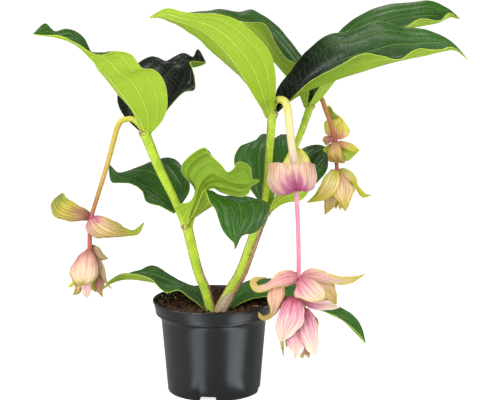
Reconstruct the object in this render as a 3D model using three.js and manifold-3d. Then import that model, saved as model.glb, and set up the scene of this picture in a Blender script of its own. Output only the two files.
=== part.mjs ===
// Medinilla, a flowering house plant, growing in a round nursery pot.
// Millimetres, +Z up. The origin is the middle of the pot's flat underside.
import * as THREE from 'three';
import { mergeVertices } from 'three/addons/utils/BufferGeometryUtils.js';
import Module from 'manifold-3d';

const wasm = await Module();
wasm.setup();

// ---------- driving dimensions ----------
const GAP = 0.3; // clearance between pieces that touch

const POT = {
  height: 130, rimRadius: 85, collarRadius: 81, collarHeight: 26, shoulderRadius: 72, footRadius: 63.5,
  wall: 1.7, floor: 2.4, footChamfer: 2, step: 8, lip: 3, edge: 0.6, sides: 36,
};
// Drain notches round the pot's foot, the first of them turned a little from the front.
const NOTCH = { count: 4, top: 21, foot: 26, height: 7, inner: 50, turn: -6.5 };
const SOIL = { rimDrop: 16, dome: 1.5, crumb: 1.1, sides: 32, rings: 5 };
const SLACK = 2 * GAP; // clearance of the soil from the faceted wall

const LEAF_THICKNESS = 1.1;
const LEAF_CELLS = 4; // cells across a leaf
const LEAF_ARCH = 0.1; // how far each half of a blade arches, as a share of its width
const TIP_HALF_WIDTH = 1.2;
const BRACT_THICKNESS = 1.0;
const BRACT_CELLS = 4;
const BRACT_EDGE = 0.8; // least half width of a bract

const SECTION_SIDES = 8;
const RIDGE = 1.12; // corner ridges of the four-angled stems, as a share of the radius
const TUBE_STEP = 2.4; // length of a step along a stem or stalk, in diameters
const BALL_SIDES = [8, 6];
const WELD = 1e-4; // points nearer than this are one

// ---------- stems and flower stalks: a path and a radius for each length ----------
const STEMS = [
  {
    name: 'stem_left',
    lengths: [
      { radius: 6.2, path: [[-15, -5, 96], [-13, -5, 113], [-26, -8, 180], [-39, -11, 236]] },
      { radius: 4.8, path: [[-37, -11, 228], [-56, -12, 276], [-75, -12, 321], [-91, -12, 365]] },
    ],
    nodes: [[[-39, -11, 236], 7.4], [[-91, -12, 364], 6]],
  },
  {
    name: 'stem_right',
    lengths: [
      { radius: 7.0, path: [[3, -2, 98], [6, -2, 113], [35, -8, 170], [61, -11, 228], [71, -12, 257]] },
      { radius: 5.0, path: [[69, -12, 252], [74, -14, 300], [78, -15, 342], [82, -15, 392]] },
      { radius: 3.6, path: [[72, -9, 254], [82, 2, 281], [98, 18, 316], [116, 34, 350], [132, 54, 394]] },
    ],
    nodes: [[[71, -12, 256], 8], [[82, -14, 391], 6.2], [[132, 54, 393], 5]],
  },
];
const STALKS = [
  {
    name: 'stalk_left',
    lengths: [
      {
        radius: 2.5,
        path: [
          [-92, -8, 366], [-104, 0, 376], [-112, 2, 381], [-119, 2, 382], [-126, 0, 380], [-131, -2, 373],
          [-137, -6, 360], [-144, -10, 330], [-151, -12, 307], [-158, -14, 282], [-168, -16, 251],
          [-171, -18, 202],
        ],
      },
    ],
  },
  {
    name: 'stalk_front',
    lengths: [
      {
        radius: 4.2,
        path: [
          [82, -10, 394], [83, -16, 405], [88, -26, 412], [95, -38, 414], [100, -50, 413], [104, -60, 404],
          [106, -68, 384], [109, -72, 358], [112, -75, 331], [112, -76, 298],
        ],
      },
      { radius: 2.7, path: [[112, -76, 303], [115, -78, 244], [116, -78, 182], [114, -78, 148]] },
    ],
  },
  {
    name: 'stalk_back',
    lengths: [
      {
        radius: 2.5,
        path: [
          [132, 55, 394], [143, 68, 399], [149, 70, 403], [154, 68, 400], [159, 64, 386], [166, 60, 367],
          [171, 57, 345], [173, 54, 302],
        ],
      },
    ],
  },
];

// ---------- leaves: the rib and the two margins, from the foot to the tip ----------
const LEAVES = [
  {
    name: 'leaf_left_front',
    left: [
      [-84, -14, 365], [-67, -36, 385], [-58, -62, 415], [-62, -84, 450], [-85, -104, 464],
      [-109, -122, 486], [-145, -136, 484], [-170, -148, 500], [-190, -158, 511], [-207, -164, 513],
    ],
    rib: [
      [-91, -14, 363], [-102, -32, 390], [-115, -52, 417], [-129, -72, 441], [-143, -90, 461],
      [-156, -107, 477], [-168, -122, 489], [-182, -136, 502], [-197, -148, 507], [-212, -157, 508],
      [-223, -163, 514],
    ],
    right: [
      [-98, -10, 363], [-111, -10, 385], [-120, 0, 417], [-140, -18, 448], [-151, -36, 470],
      [-163, -58, 484], [-169, -76, 501], [-187, -96, 513], [-204, -118, 514], [-213, -140, 524],
    ],
  },
  {
    name: 'leaf_left_back',
    left: [
      [-98, -4, 362], [-125, 30, 381], [-134, 60, 405], [-127, 82, 432], [-102, 100, 451],
      [-77, 112, 449], [-46, 120, 461], [-28, 122, 458], [-20, 112, 466],
    ],
    rib: [
      [-93, -6, 363], [-79, 12, 378], [-66, 32, 393], [-55, 52, 409], [-46, 70, 425], [-40, 84, 438],
      [-34, 96, 446], [-29, 100, 443], [-19, 104, 445], [-12, 106, 448],
    ],
    right: [
      [-87, -8, 364], [-70, 0, 384], [-57, 15, 401], [-41, 30, 415], [-27, 42, 417], [-26, 52, 430],
      [-29, 66, 442], [-34, 84, 452], [-17, 98, 450],
    ],
  },
  {
    name: 'leaf_top_left',
    left: [
      [80, -16, 388], [84, -40, 415], [85, -66, 447], [78, -90, 480], [60, -110, 505], [38, -128, 526],
      [12, -142, 537], [-10, -150, 538], [-33, -156, 541], [-55, -162, 546],
    ],
    rib: [
      [76, -16, 385], [65, -34, 405], [52, -54, 429], [40, -73, 453], [26, -92, 476], [9, -110, 497],
      [-8, -126, 513], [-26, -140, 523], [-43, -152, 530], [-60, -163, 535], [-76, -172, 535],
    ],
    right: [
      [72, -13, 386], [60, -14, 411], [45, -16, 433], [29, -28, 452], [12, -44, 468], [-5, -62, 486],
      [-20, -80, 502], [-35, -98, 514], [-51, -118, 525], [-64, -140, 532],
    ],
  },
  {
    name: 'leaf_branch_left',
    left: [
      [130, 44, 397], [131, 29, 421], [119, 16, 452], [98, 14, 465], [85, 16, 486], [70, 22, 510],
      [44, 30, 512], [20, 36, 517], [-4, 42, 521],
    ],
    rib: [
      [127, 50, 391], [119, 52, 412], [102, 54, 435], [85, 56, 455], [67, 56, 477], [48, 56, 495],
      [28, 54, 508], [8, 52, 517], [-14, 50, 522], [-39, 48, 523],
    ],
    right: [
      [133, 56, 394], [131, 82, 432], [120, 98, 459], [103, 104, 485], [80, 104, 508], [55, 102, 523],
      [37, 96, 521], [11, 86, 525], [-11, 70, 523],
    ],
  },
  {
    name: 'leaf_right_front',
    left: [
      [82, -10, 399], [89, 2, 425], [107, 8, 449], [128, 8, 475], [154, 4, 496], [186, -2, 503],
      [223, -10, 516], [257, -20, 510], [288, -34, 507], [315, -50, 495],
    ],
    rib: [
      [85, -14, 393], [113, -22, 416], [139, -28, 430], [169, -34, 442], [198, -40, 452],
      [227, -46, 462], [255, -52, 470], [281, -58, 476], [303, -64, 482], [321, -68, 484],
      [337, -72, 472],
    ],
    right: [
      [90, -18, 395], [119, -46, 429], [143, -66, 450], [170, -80, 465], [196, -90, 481],
      [224, -96, 478], [247, -98, 475], [269, -96, 488], [297, -92, 486], [316, -84, 489],
    ],
  },
  {
    name: 'leaf_branch_right',
    left: [
      [136, 62, 394], [141, 84, 421], [152, 98, 453], [170, 108, 483], [192, 114, 505], [219, 118, 521],
      [251, 120, 530], [280, 118, 533], [307, 114, 535], [327, 108, 527], [339, 100, 518],
    ],
    rib: [
      [133, 54, 388], [151, 56, 406], [169, 58, 429], [187, 62, 451], [205, 66, 469], [225, 70, 483],
      [248, 76, 493], [269, 82, 499], [292, 86, 503], [315, 90, 507], [332, 94, 514], [345, 96, 511],
    ],
    right: [
      [132, 46, 393], [142, 32, 415], [154, 20, 438], [174, 18, 456], [193, 20, 471], [215, 26, 485],
      [239, 34, 500], [263, 44, 504], [286, 56, 514], [314, 68, 511], [329, 84, 520],
    ],
  },
  {
    name: 'leaf_mid_left',
    left: [
      [-54, -12, 253], [-71, -6, 261], [-92, 6, 266], [-100, 24, 278], [-116, 48, 284], [-134, 76, 280],
      [-149, 104, 278],
    ],
    rib: [
      [-50, -8, 255], [-66, 14, 267], [-85, 36, 277], [-103, 58, 283], [-120, 80, 285], [-136, 100, 286],
      [-147, 118, 289], [-154, 132, 298],
    ],
    right: [
      [-46, -2, 260], [-33, 18, 281], [-39, 50, 299], [-57, 82, 314], [-84, 106, 308], [-114, 122, 290],
      [-136, 130, 282],
    ],
  },
  {
    name: 'leaf_mid_curled',
    left: [
      [-29, -14, 243], [-23, -24, 263], [-15, -34, 284], [-6, -42, 298], [9, -50, 297], [26, -58, 295],
      [41, -64, 292], [48, -72, 296], [53, -82, 307],
    ],
    rib: [
      [-36, -18, 243], [-30, -34, 267], [-20, -50, 290], [-10, -64, 308], [1, -76, 317], [15, -86, 317],
      [29, -92, 314], [41, -94, 310], [51, -94, 310], [61, -92, 314],
    ],
    right: [
      [-52, -14, 260], [-39, -34, 274], [-27, -60, 298], [-40, -80, 327], [-29, -94, 348],
      [-6, -98, 358], [11, -104, 336], [32, -108, 340], [51, -100, 329],
    ],
  },
  {
    name: 'leaf_mid_hanging',
    left: [
      [-23, -18, 250], [1, -22, 266], [29, -30, 273], [56, -40, 276], [76, -52, 274], [73, -66, 256],
      [57, -84, 242], [41, -102, 242],
    ],
    rib: [
      [-30, -18, 243], [-12, -38, 267], [8, -56, 284], [27, -74, 285], [37, -90, 279], [39, -102, 266],
      [36, -110, 252], [33, -114, 239], [31, -116, 226],
    ],
    right: [
      [-32, -22, 241], [-14, -52, 270], [-11, -78, 295], [-6, -96, 292], [2, -108, 279], [11, -114, 263],
      [19, -116, 246], [27, -116, 235],
    ],
  },
  {
    name: 'leaf_right_back',
    left: [
      [67, -8, 264], [51, 12, 282], [35, 34, 296], [28, 58, 315], [36, 84, 331], [56, 106, 335],
      [69, 126, 343],
    ],
    rib: [
      [73, -8, 260], [76, 14, 279], [79, 38, 297], [82, 62, 316], [83, 86, 330], [85, 110, 337],
      [87, 130, 337], [88, 150, 328],
    ],
    right: [
      [77, -6, 264], [89, 18, 286], [98, 42, 307], [106, 66, 326], [110, 88, 338], [108, 108, 343],
      [101, 124, 342],
    ],
  },
  {
    name: 'leaf_right_side',
    left: [
      [78, -1, 265], [96, 14, 289], [110, 34, 313], [122, 56, 331], [137, 78, 334], [151, 95, 332],
    ],
    rib: [
      [78, -4, 262], [98, 16, 278], [116, 38, 294], [132, 58, 308], [145, 76, 318], [155, 92, 322],
      [162, 104, 325],
    ],
    right: [
      [81, -8, 262], [108, 0, 274], [131, 18, 279], [147, 38, 290], [159, 58, 302], [161, 78, 314],
    ],
  },
  {
    name: 'leaf_right_small',
    left: [
      [78, -10, 261], [92, -4, 271], [107, 2, 278], [122, 4, 286], [132, 0, 294],
    ],
    rib: [
      [78, -14, 254], [92, -16, 266], [105, -16, 271], [119, -16, 273], [130, -14, 284], [137, -14, 300],
    ],
    right: [
      [77, -18, 262], [87, -28, 281], [102, -34, 291], [117, -34, 297], [128, -30, 300],
    ],
  },
  {
    name: 'leaf_low_left',
    left: [
      [-11, -2, 113], [-25, 0, 124], [-47, -6, 141], [-67, -10, 149], [-85, -10, 160], [-105, -2, 164],
      [-124, 8, 161], [-141, 20, 153],
    ],
    rib: [
      [-8, 4, 111], [-23, 22, 126], [-42, 30, 140], [-64, 32, 143], [-86, 34, 144], [-108, 36, 146],
      [-127, 38, 146], [-144, 38, 141], [-159, 38, 133],
    ],
    right: [
      [-5, 8, 115], [-20, 42, 134], [-44, 60, 137], [-66, 66, 150], [-88, 70, 162], [-107, 68, 155],
      [-126, 62, 151], [-141, 52, 149],
    ],
  },
  {
    name: 'leaf_low_right',
    left: [
      [17, 6, 117], [35, 52, 136], [61, 74, 141], [97, 84, 136], [133, 84, 122], [166, 76, 106],
      [194, 62, 94], [209, 48, 78],
    ],
    rib: [
      [17, 0, 115], [45, 26, 128], [72, 32, 136], [103, 36, 136], [133, 38, 123], [157, 36, 103],
      [181, 34, 91], [199, 32, 74], [214, 30, 58],
    ],
    right: [
      [21, -4, 115], [49, 4, 127], [74, -4, 134], [103, -8, 130], [130, -6, 120], [160, 6, 113],
      [184, 14, 99], [203, 20, 81],
    ],
  },
];

// ---------- blooms: the bracts round each eye, where they leave the stalk ----------
// rib: the middle line; widths: half widths along it; cup: how far the sides curl in, in radians;
// out: the direction that the hollow side turns its back to.
const BLOOMS = [
  {
    name: 'bloom_left_upper', finish: 'upperBract', eye: [-168, -16, 250], eyeRadius: 5,
    bracts: [
      {
        rib: [
          [-168, -16, 249], [-183, -24, 256], [-201, -31, 263],
          [-215, -28, 265], [-215, -20, 276],
        ],
        widths: [4, 12, 14, 12, 5, 1], cup: 0.9, out: [0, -1, -0.3],
      },
      {
        rib: [
          [-168, -16, 249], [-159, -26, 239], [-140, -33, 234],
          [-119, -32, 230], [-103, -28, 233], [-96, -24, 244],
        ],
        widths: [4, 15, 15, 10, 6, 1], cup: 1.0, out: [0, -1, -0.2],
      },
    ],
  },
  {
    name: 'bloom_left_lower', finish: 'lowerBract', eye: [-171, -18, 203], eyeRadius: 6,
    bracts: [
      {
        rib: [[-171, -20, 204], [-176, -36, 190], [-178, -38, 173], [-176, -30, 157]],
        widths: [4, 16, 19, 15, 3], cup: 1.1, out: [0, -1, 0],
      },
      {
        rib: [[-170, -16, 206], [-159, -14, 201], [-147, -12, 189]],
        widths: [3, 7, 6, 1], cup: 0.8, out: [0.3, -0.5, 0.6],
      },
      {
        rib: [[-170, -14, 201], [-155, -16, 183], [-151, -14, 163], [-141, -10, 146]],
        widths: [3, 10, 10, 6, 1], cup: 1.1, out: [1, -0.6, 0],
      },
      {
        rib: [[-173, -14, 201], [-190, -6, 178], [-196, -6, 158], [-200, -8, 147]],
        widths: [3, 10, 11, 6, 1], cup: 1.1, out: [-1, 0.2, 0],
      },
      {
        rib: [[-172, -10, 199], [-178, 4, 163], [-177, -8, 133]],
        widths: [3, 15, 14, 7, 1], cup: 1.1, out: [0, 1, 0],
      },
      {
        rib: [[-170, -18, 200], [-158, -26, 170], [-152, -22, 138]],
        widths: [3, 12, 11, 6, 1], cup: 1.1, out: [0.6, -0.8, 0],
      },
      {
        rib: [[-171, -18, 200], [-186, -20, 168], [-194, -16, 139]],
        widths: [3, 12, 11, 6, 1], cup: 1.1, out: [-0.7, -0.7, 0],
      },
    ],
  },
  {
    name: 'bloom_front_upper', finish: 'upperBract', eye: [112, -76, 299], eyeRadius: 7,
    bracts: [
      {
        rib: [
          [112, -79, 298], [111, -95, 302], [109, -107, 314],
          [108, -108, 327], [108, -102, 336],
        ],
        widths: [9, 27, 36, 37, 34], cup: 0.9, out: [0, -1, -0.6],
      },
      {
        rib: [[113, -68, 299], [116, -56, 313], [118, -54, 332], [115, -62, 354]],
        widths: [6, 20, 21, 13, 1], cup: 0.9, out: [0, 1, -0.3],
      },
    ],
  },
  {
    name: 'bloom_front_middle', finish: 'lowerBract', eye: [116, -78, 182], eyeRadius: 5,
    bracts: [
      {
        rib: [
          [115, -80, 182], [97, -92, 184], [75, -98, 174],
          [56, -94, 169], [52, -88, 176], [67, -84, 181],
        ],
        widths: [4, 12, 12, 9, 6, 1], cup: 0.9, out: [0, -0.6, 0.8],
      },
      {
        rib: [[118, -76, 181], [136, -70, 183], [159, -64, 176], [183, -60, 169], [207, -58, 179]],
        widths: [4, 12, 12, 7, 1], cup: 0.9, out: [0, -0.6, 0.8],
      },
      {
        rib: [[118, -82, 181], [125, -100, 176], [134, -108, 167], [144, -106, 156]],
        widths: [4, 18, 21, 16, 2], cup: 1.0, out: [0.1, -1, 0.2],
      },
      {
        rib: [[121, -72, 178], [146, -58, 165], [166, -54, 140]],
        widths: [3, 11, 10, 6, 1], cup: 0.9, out: [0.3, 0.9, 0.2],
      },
      {
        rib: [
          [115, -80, 180], [96, -84, 170], [83, -88, 154],
          [80, -86, 136], [68, -86, 125], [61, -84, 132],
        ],
        widths: [3, 10, 12, 10, 5, 1], cup: 0.9, out: [-0.3, -1, 0],
      },
    ],
  },
  {
    name: 'bloom_front_lower', finish: 'lowerBract', eye: [114, -78, 149], eyeRadius: 6,
    bracts: [
      {
        rib: [[113, -80, 152], [105, -104, 140], [101, -109, 119], [98, -99, 95]],
        widths: [5, 19, 22, 17, 3], cup: 1.0, out: [-0.1, -1, 0],
      },
      {
        rib: [[117, -76, 150], [129, -86, 130], [134, -88, 105], [139, -78, 73]],
        widths: [4, 14, 16, 12, 1], cup: 1.0, out: [0.5, -0.9, 0],
      },
      {
        rib: [[114, -72, 146], [110, -80, 113], [110, -88, 87], [112, -84, 65]],
        widths: [4, 13, 14, 8, 1], cup: 1.0, out: [-0.3, -1, 0],
      },
      {
        rib: [[117, -66, 144], [122, -72, 104], [127, -76, 67]],
        widths: [3, 9, 9, 6, 1], cup: 0.9, out: [0.3, -1, 0],
      },
      {
        rib: [[116, -62, 143], [118, -46, 103], [125, -52, 70]],
        widths: [4, 17, 17, 10, 1], cup: 1.1, out: [0, 1, 0],
      },
      {
        rib: [[118, -72, 150], [146, -60, 139], [171, -50, 132]],
        widths: [4, 9, 8, 5, 1], cup: 0.8, out: [0, -0.6, 0.8],
      },
      {
        rib: [[113, -72, 147], [97, -66, 116], [101, -70, 82]],
        widths: [4, 14, 14, 8, 1], cup: 1.0, out: [-1, 0.4, 0],
      },
    ],
  },
  {
    name: 'bloom_back_upper', finish: 'upperBract', eye: [171, 57, 344], eyeRadius: 5,
    bracts: [
      {
        rib: [[170, 55, 347], [158, 46, 348], [152, 44, 361], [155, 48, 374]],
        widths: [4, 9, 9, 6, 1], cup: 0.9, out: [-0.3, -1, 0],
      },
      {
        rib: [[171, 56, 348], [180, 46, 356], [182, 46, 366], [179, 50, 377]],
        widths: [4, 12, 13, 8, 1], cup: 1.0, out: [0.2, -1, 0],
      },
      {
        rib: [[171, 60, 347], [179, 68, 360], [171, 68, 379], [160, 62, 394]],
        widths: [3, 9, 9, 6, 1], cup: 0.9, out: [0.6, 0.6, 0.2],
      },
      {
        rib: [[170, 54, 342], [165, 43, 334], [169, 42, 313]],
        widths: [4, 12, 14, 12, 3], cup: 1.1, out: [-0.1, -1, 0],
      },
      {
        rib: [[171, 58, 342], [185, 56, 337], [204, 56, 331]],
        widths: [4, 10, 10, 8, 1], cup: 0.9, out: [0, -0.7, 0.7],
      },
      {
        rib: [[171, 54, 341], [185, 48, 329], [184, 46, 313]],
        widths: [4, 10, 11, 8, 1], cup: 1.0, out: [0.6, -0.8, 0],
      },
    ],
  },
  {
    name: 'bloom_back_lower', finish: 'upperBract', eye: [173, 54, 303], eyeRadius: 6,
    bracts: [
      {
        rib: [[171, 50, 303], [160, 36, 287], [150, 34, 269], [130, 34, 259]],
        widths: [5, 15, 15, 8, 1], cup: 1.1, out: [-0.4, -1, 0],
      },
      {
        rib: [[174, 54, 303], [190, 50, 296], [198, 48, 281], [207, 46, 268], [220, 44, 269]],
        widths: [5, 12, 10, 4, 3, 1], cup: 1.0, out: [0.5, -0.7, 0.5],
      },
      {
        rib: [[174, 48, 304], [179, 36, 280], [184, 38, 247]],
        widths: [5, 15, 16, 11, 1], cup: 1.1, out: [0.1, -1, 0],
      },
      {
        rib: [[170, 58, 299], [161, 62, 265], [157, 58, 239]],
        widths: [4, 12, 12, 8, 1], cup: 1.0, out: [-0.8, -0.4, 0],
      },
      {
        rib: [[175, 64, 298], [181, 74, 271], [178, 68, 246]],
        widths: [4, 14, 14, 9, 1], cup: 1.1, out: [0, 1, 0],
      },
      {
        rib: [[174, 56, 301], [193, 56, 277], [194, 54, 255]],
        widths: [4, 12, 12, 7, 1], cup: 1.1, out: [1, -0.2, 0],
      },
    ],
  },
];

// ---------- finishes ----------
const finish = (color, roughness) => ({ color, roughness, metalness: 0 });
const FINISHES = {
  pot: finish('#2b2d31', 0.4),
  soil: finish('#33261d', 0.95),
  stem: finish('#9dbb3c', 0.5),
  stalk: finish('#cf9a6a', 0.5),
  leaf: finish('#2f5a2a', 0.35),
  upperBract: finish('#c9b774', 0.55),
  lowerBract: finish('#e8a9ab', 0.55),
};

// ---------- solids ----------
const point = ([x, y, z]) => new THREE.Vector3(x, y, z);
const curve = (points) => new THREE.CatmullRomCurve3(points, false, 'catmullrom', 0.5);

function toSolid(geometry) {
  geometry.deleteAttribute('normal');
  geometry.deleteAttribute('uv');
  const merged = mergeVertices(geometry, WELD);
  return new wasm.Manifold(new wasm.Mesh({
    numProp: 3,
    vertProperties: new Float32Array(merged.attributes.position.array),
    triVerts: new Uint32Array(merged.index.array),
  }));
}

function toGeometry(solid) {
  const mesh = solid.getMesh();
  const geometry = new THREE.BufferGeometry();
  geometry.setAttribute('position', new THREE.Float32BufferAttribute(mesh.vertProperties, 3));
  geometry.setIndex(new THREE.Uint32BufferAttribute(mesh.triVerts, 1));
  return geometry;
}

function union(solids) {
  return solids.reduce((whole, solid) => whole.add(solid));
}

// The largest body of a cut solid: loose scraps are dropped.
function largestBody(solid) {
  const bodies = solid.decompose();
  return bodies.reduce((best, body) => (body.volume() > best.volume() ? body : best));
}

// A closed sheet round a grid of points: rows run from foot to tip, and each row runs from left to right.
// Both faces have their diagonals in the same places, so a waved sheet keeps its thickness.
function sheetSolid(rows, thickness, grow) {
  const last = rows.length - 1;
  const side = rows[0].length - 1;
  const at = (i, j) => rows[Math.min(Math.max(i, 0), last)][Math.min(Math.max(j, 0), side)];
  const half = thickness / 2 + grow;
  const upper = [];
  const lower = [];
  for (let i = 0; i <= last; i += 1) {
    for (let j = 0; j <= side; j += 1) {
      const along = at(i + 1, j).clone().sub(at(i - 1, j));
      const across = at(i, j + 1).clone().sub(at(i, j - 1));
      const normal = across.cross(along).normalize();
      const middle = at(i, j).clone();
      const inner = at(Math.min(Math.max(i, 1), last - 1), Math.min(Math.max(j, 1), side - 1));
      if (grow > 0 && !middle.equals(inner)) middle.add(middle.clone().sub(inner).setLength(grow));
      upper.push(middle.clone().addScaledVector(normal, half));
      lower.push(middle.clone().addScaledVector(normal, -half));
    }
  }
  const index = (i, j) => i * (side + 1) + j;
  const offset = upper.length;
  const faces = [];
  for (let i = 0; i < last; i += 1) {
    for (let j = 0; j < side; j += 1) {
      const [a, b, c, d] = [index(i, j), index(i, j + 1), index(i + 1, j), index(i + 1, j + 1)];
      faces.push(a, b, d, a, d, c);
      faces.push(offset + a, offset + d, offset + b, offset + a, offset + c, offset + d);
    }
  }
  const rim = [];
  for (let j = 0; j < side; j += 1) rim.push(index(0, j));
  for (let i = 0; i < last; i += 1) rim.push(index(i, side));
  for (let j = side; j > 0; j -= 1) rim.push(index(last, j));
  for (let i = last; i > 0; i -= 1) rim.push(index(i, 0));
  rim.forEach((p, k) => {
    const q = rim[(k + 1) % rim.length];
    faces.push(q, p, offset + p, q, offset + p, offset + q);
  });
  const geometry = new THREE.BufferGeometry();
  geometry.setFromPoints([...upper, ...lower]);
  geometry.setIndex(faces);
  return toSolid(geometry);
}

// A leaf: each half of the blade spans from the rib to a margin and arches a little.
function leafSolid(leaf, grow = 0) {
  const rib = leaf.rib.map(point);
  const tip = rib[rib.length - 1];
  const margin = (points) => {
    const places = points.map(point);
    const reach = places[places.length - 1].clone().sub(rib[rib.length - 2]).setLength(TIP_HALF_WIDTH);
    return curve([...places, tip.clone().add(reach)]);
  };
  const ribCurve = curve(rib);
  const margins = [margin(leaf.left), margin(leaf.right)];
  const steps = 2 * (rib.length - 1);
  const rows = [];
  for (let i = 0; i <= steps; i += 1) {
    const t = i / steps;
    const middle = ribCurve.getPoint(t);
    const along = ribCurve.getTangent(t);
    const row = [];
    for (let j = 0; j <= LEAF_CELLS; j += 1) {
      const across = (2 * j) / LEAF_CELLS - 1;
      const share = Math.abs(across);
      const reach = margins[across < 0 ? 0 : 1].getPoint(t).sub(middle);
      const up = across < 0 ? along.clone().cross(reach) : reach.clone().cross(along);
      const lift = LEAF_ARCH * 4 * share * (1 - share) * reach.length();
      row.push(middle.clone().addScaledVector(reach, share).addScaledVector(up.normalize(), lift));
    }
    rows.push(row);
  }
  return sheetSolid(rows, LEAF_THICKNESS, grow);
}

// A bract: a spoon round its rib, hollow on the side away from "out".
function bractSolid(bract, grow) {
  const ribCurve = curve(bract.rib.map(point));
  const widthCurve = curve(bract.widths.map((width) => new THREE.Vector3(width, 0, 0)));
  const out = point(bract.out);
  const steps = bract.rib.length + 1;
  const rows = [];
  for (let i = 0; i <= steps; i += 1) {
    const t = i / steps;
    const middle = ribCurve.getPoint(t);
    const along = ribCurve.getTangent(t);
    const side = along.clone().cross(out).normalize();
    const back = side.clone().cross(along);
    const width = Math.max(widthCurve.getPoint(t).x, BRACT_EDGE);
    const row = [];
    for (let j = 0; j <= BRACT_CELLS; j += 1) {
      const turn = ((2 * j) / BRACT_CELLS - 1) * bract.cup;
      const place = middle.clone().addScaledVector(side, (width * Math.sin(turn)) / bract.cup);
      row.push(place.addScaledVector(back, (-width * (1 - Math.cos(turn))) / bract.cup));
    }
    rows.push(row);
  }
  return sheetSolid(rows, BRACT_THICKNESS, grow);
}

function ballSolid(centre, radius) {
  const ball = new THREE.SphereGeometry(radius, ...BALL_SIDES);
  ball.translate(...centre);
  return toSolid(ball);
}

// A tube along a path, an extrusion of an eight-sided section whose corners stand out as ridges.
function tubeSolid({ radius, path }, ridge, grow) {
  const points = path.map(point);
  if (grow > 0) {
    const last = points.length - 1;
    points[0].add(points[0].clone().sub(points[1]).setLength(grow));
    points[last].add(points[last].clone().sub(points[last - 1]).setLength(grow));
  }
  const corners = [];
  for (let k = 0; k < SECTION_SIDES; k += 1) {
    const turn = (2 * Math.PI * k) / SECTION_SIDES;
    const reach = radius * (k % 2 ? 1 : ridge) + 1.1 * grow;
    corners.push(new THREE.Vector2(reach * Math.cos(turn), reach * Math.sin(turn)));
  }
  const route = curve(points);
  return toSolid(new THREE.ExtrudeGeometry(new THREE.Shape(corners), {
    steps: Math.round(route.getLength() / (TUBE_STEP * 2 * radius)),
    bevelEnabled: false,
    extrudePath: route,
  }));
}

function stemSolid(stem, grow = 0) {
  const tubes = stem.lengths.map((length) => tubeSolid(length, RIDGE, grow));
  const swellings = stem.nodes.map(([centre, radius]) => ballSolid(centre, radius + grow));
  return union([...tubes, ...swellings]);
}

function stalkSolid(stalk, grow = 0) {
  return union(stalk.lengths.map((length) => tubeSolid(length, 1, grow)));
}

function bloomSolid(bloom, grow = 0) {
  const bracts = bloom.bracts.map((bract) => bractSolid(bract, grow));
  return union([ballSolid(bloom.eye, bloom.eyeRadius + grow), ...bracts]);
}

// The pot's inner wall as [radius, height]: straight up to the shoulder, a step out, and the collar.
const shoulderHeight = POT.height - POT.collarHeight;
const innerFoot = [POT.footRadius - POT.wall, POT.floor];
const innerShoulder = [POT.shoulderRadius - POT.wall, shoulderHeight + 1];
const innerCollar = [POT.collarRadius - 2 * POT.wall, shoulderHeight + POT.step];
const innerRim = [POT.rimRadius - POT.edge - POT.wall, POT.height];

function potSolid() {
  const profile = [
    [0, 0],
    [POT.footRadius - POT.footChamfer, 0],
    [POT.footRadius, POT.footChamfer],
    [POT.shoulderRadius, shoulderHeight - 2],
    [POT.shoulderRadius + 1, shoulderHeight],
    [POT.collarRadius - 2, shoulderHeight + POT.step / 2],
    [POT.collarRadius, shoulderHeight + POT.step],
    [POT.rimRadius - POT.edge, POT.height - POT.lip],
    [POT.rimRadius, POT.height - POT.edge],
    [POT.rimRadius - POT.edge, POT.height],
    innerRim,
    innerCollar,
    innerShoulder,
    innerFoot,
    [0, POT.floor],
  ].map(([radius, height]) => new THREE.Vector2(radius, height));
  const wall = new THREE.LatheGeometry(profile, POT.sides);
  wall.rotateX(Math.PI / 2);
  let pot = toSolid(wall);
  const depth = POT.shoulderRadius - NOTCH.inner;
  const outline = new THREE.Shape([
    new THREE.Vector2(-NOTCH.foot / 2, -POT.floor),
    new THREE.Vector2(NOTCH.foot / 2, -POT.floor),
    new THREE.Vector2(NOTCH.top / 2, NOTCH.height),
    new THREE.Vector2(-NOTCH.top / 2, NOTCH.height),
  ]);
  for (let k = 0; k < NOTCH.count; k += 1) {
    const notch = new THREE.ExtrudeGeometry(outline, { depth, bevelEnabled: false });
    notch.rotateX(Math.PI / 2);
    notch.translate(0, -NOTCH.inner, 0);
    notch.rotateZ(THREE.MathUtils.degToRad(NOTCH.turn + (360 * k) / NOTCH.count));
    pot = pot.subtract(toSolid(notch));
  }
  return pot;
}

// Crumbs that raise or lower the top of the soil.
function crumbs(x, y) {
  return SOIL.crumb * (Math.sin(0.31 * x + 1.3 * Math.sin(0.17 * y)) + Math.cos(0.27 * y + 0.21 * x));
}

function soilSolid() {
  const top = POT.height - SOIL.rimDrop;
  const share = (top - innerCollar[1]) / (POT.height - innerCollar[1]);
  const edge = innerCollar[0] + share * (innerRim[0] - innerCollar[0]) - SLACK;
  const profile = [
    [0, POT.floor + GAP],
    [innerFoot[0] - SLACK, POT.floor + GAP],
    [innerShoulder[0] - SLACK, innerShoulder[1] + GAP],
    [innerCollar[0] - SLACK, innerCollar[1] + GAP],
    [edge, top],
  ];
  for (let ring = SOIL.rings - 1; ring >= 0; ring -= 1) {
    profile.push([(edge * ring) / SOIL.rings, top]);
  }
  const section = profile.map(([radius, height]) => new THREE.Vector2(radius, height));
  const soil = new THREE.LatheGeometry(section, SOIL.sides);
  soil.rotateX(Math.PI / 2);
  const places = soil.attributes.position;
  for (let k = 0; k < places.count; k += 1) {
    const [x, y, z] = [places.getX(k), places.getY(k), places.getZ(k)];
    const inward = 1 - Math.hypot(x, y) / edge;
    if (z > top - GAP && inward > WELD) {
      places.setZ(k, z + SOIL.dome * Math.min(1, 3 * inward) + crumbs(x, y));
    }
  }
  return toSolid(soil);
}

// ---------- assembly ----------
const plant = new THREE.Group();
const clearances = []; // solids, GAP larger than the pieces placed so far

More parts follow.
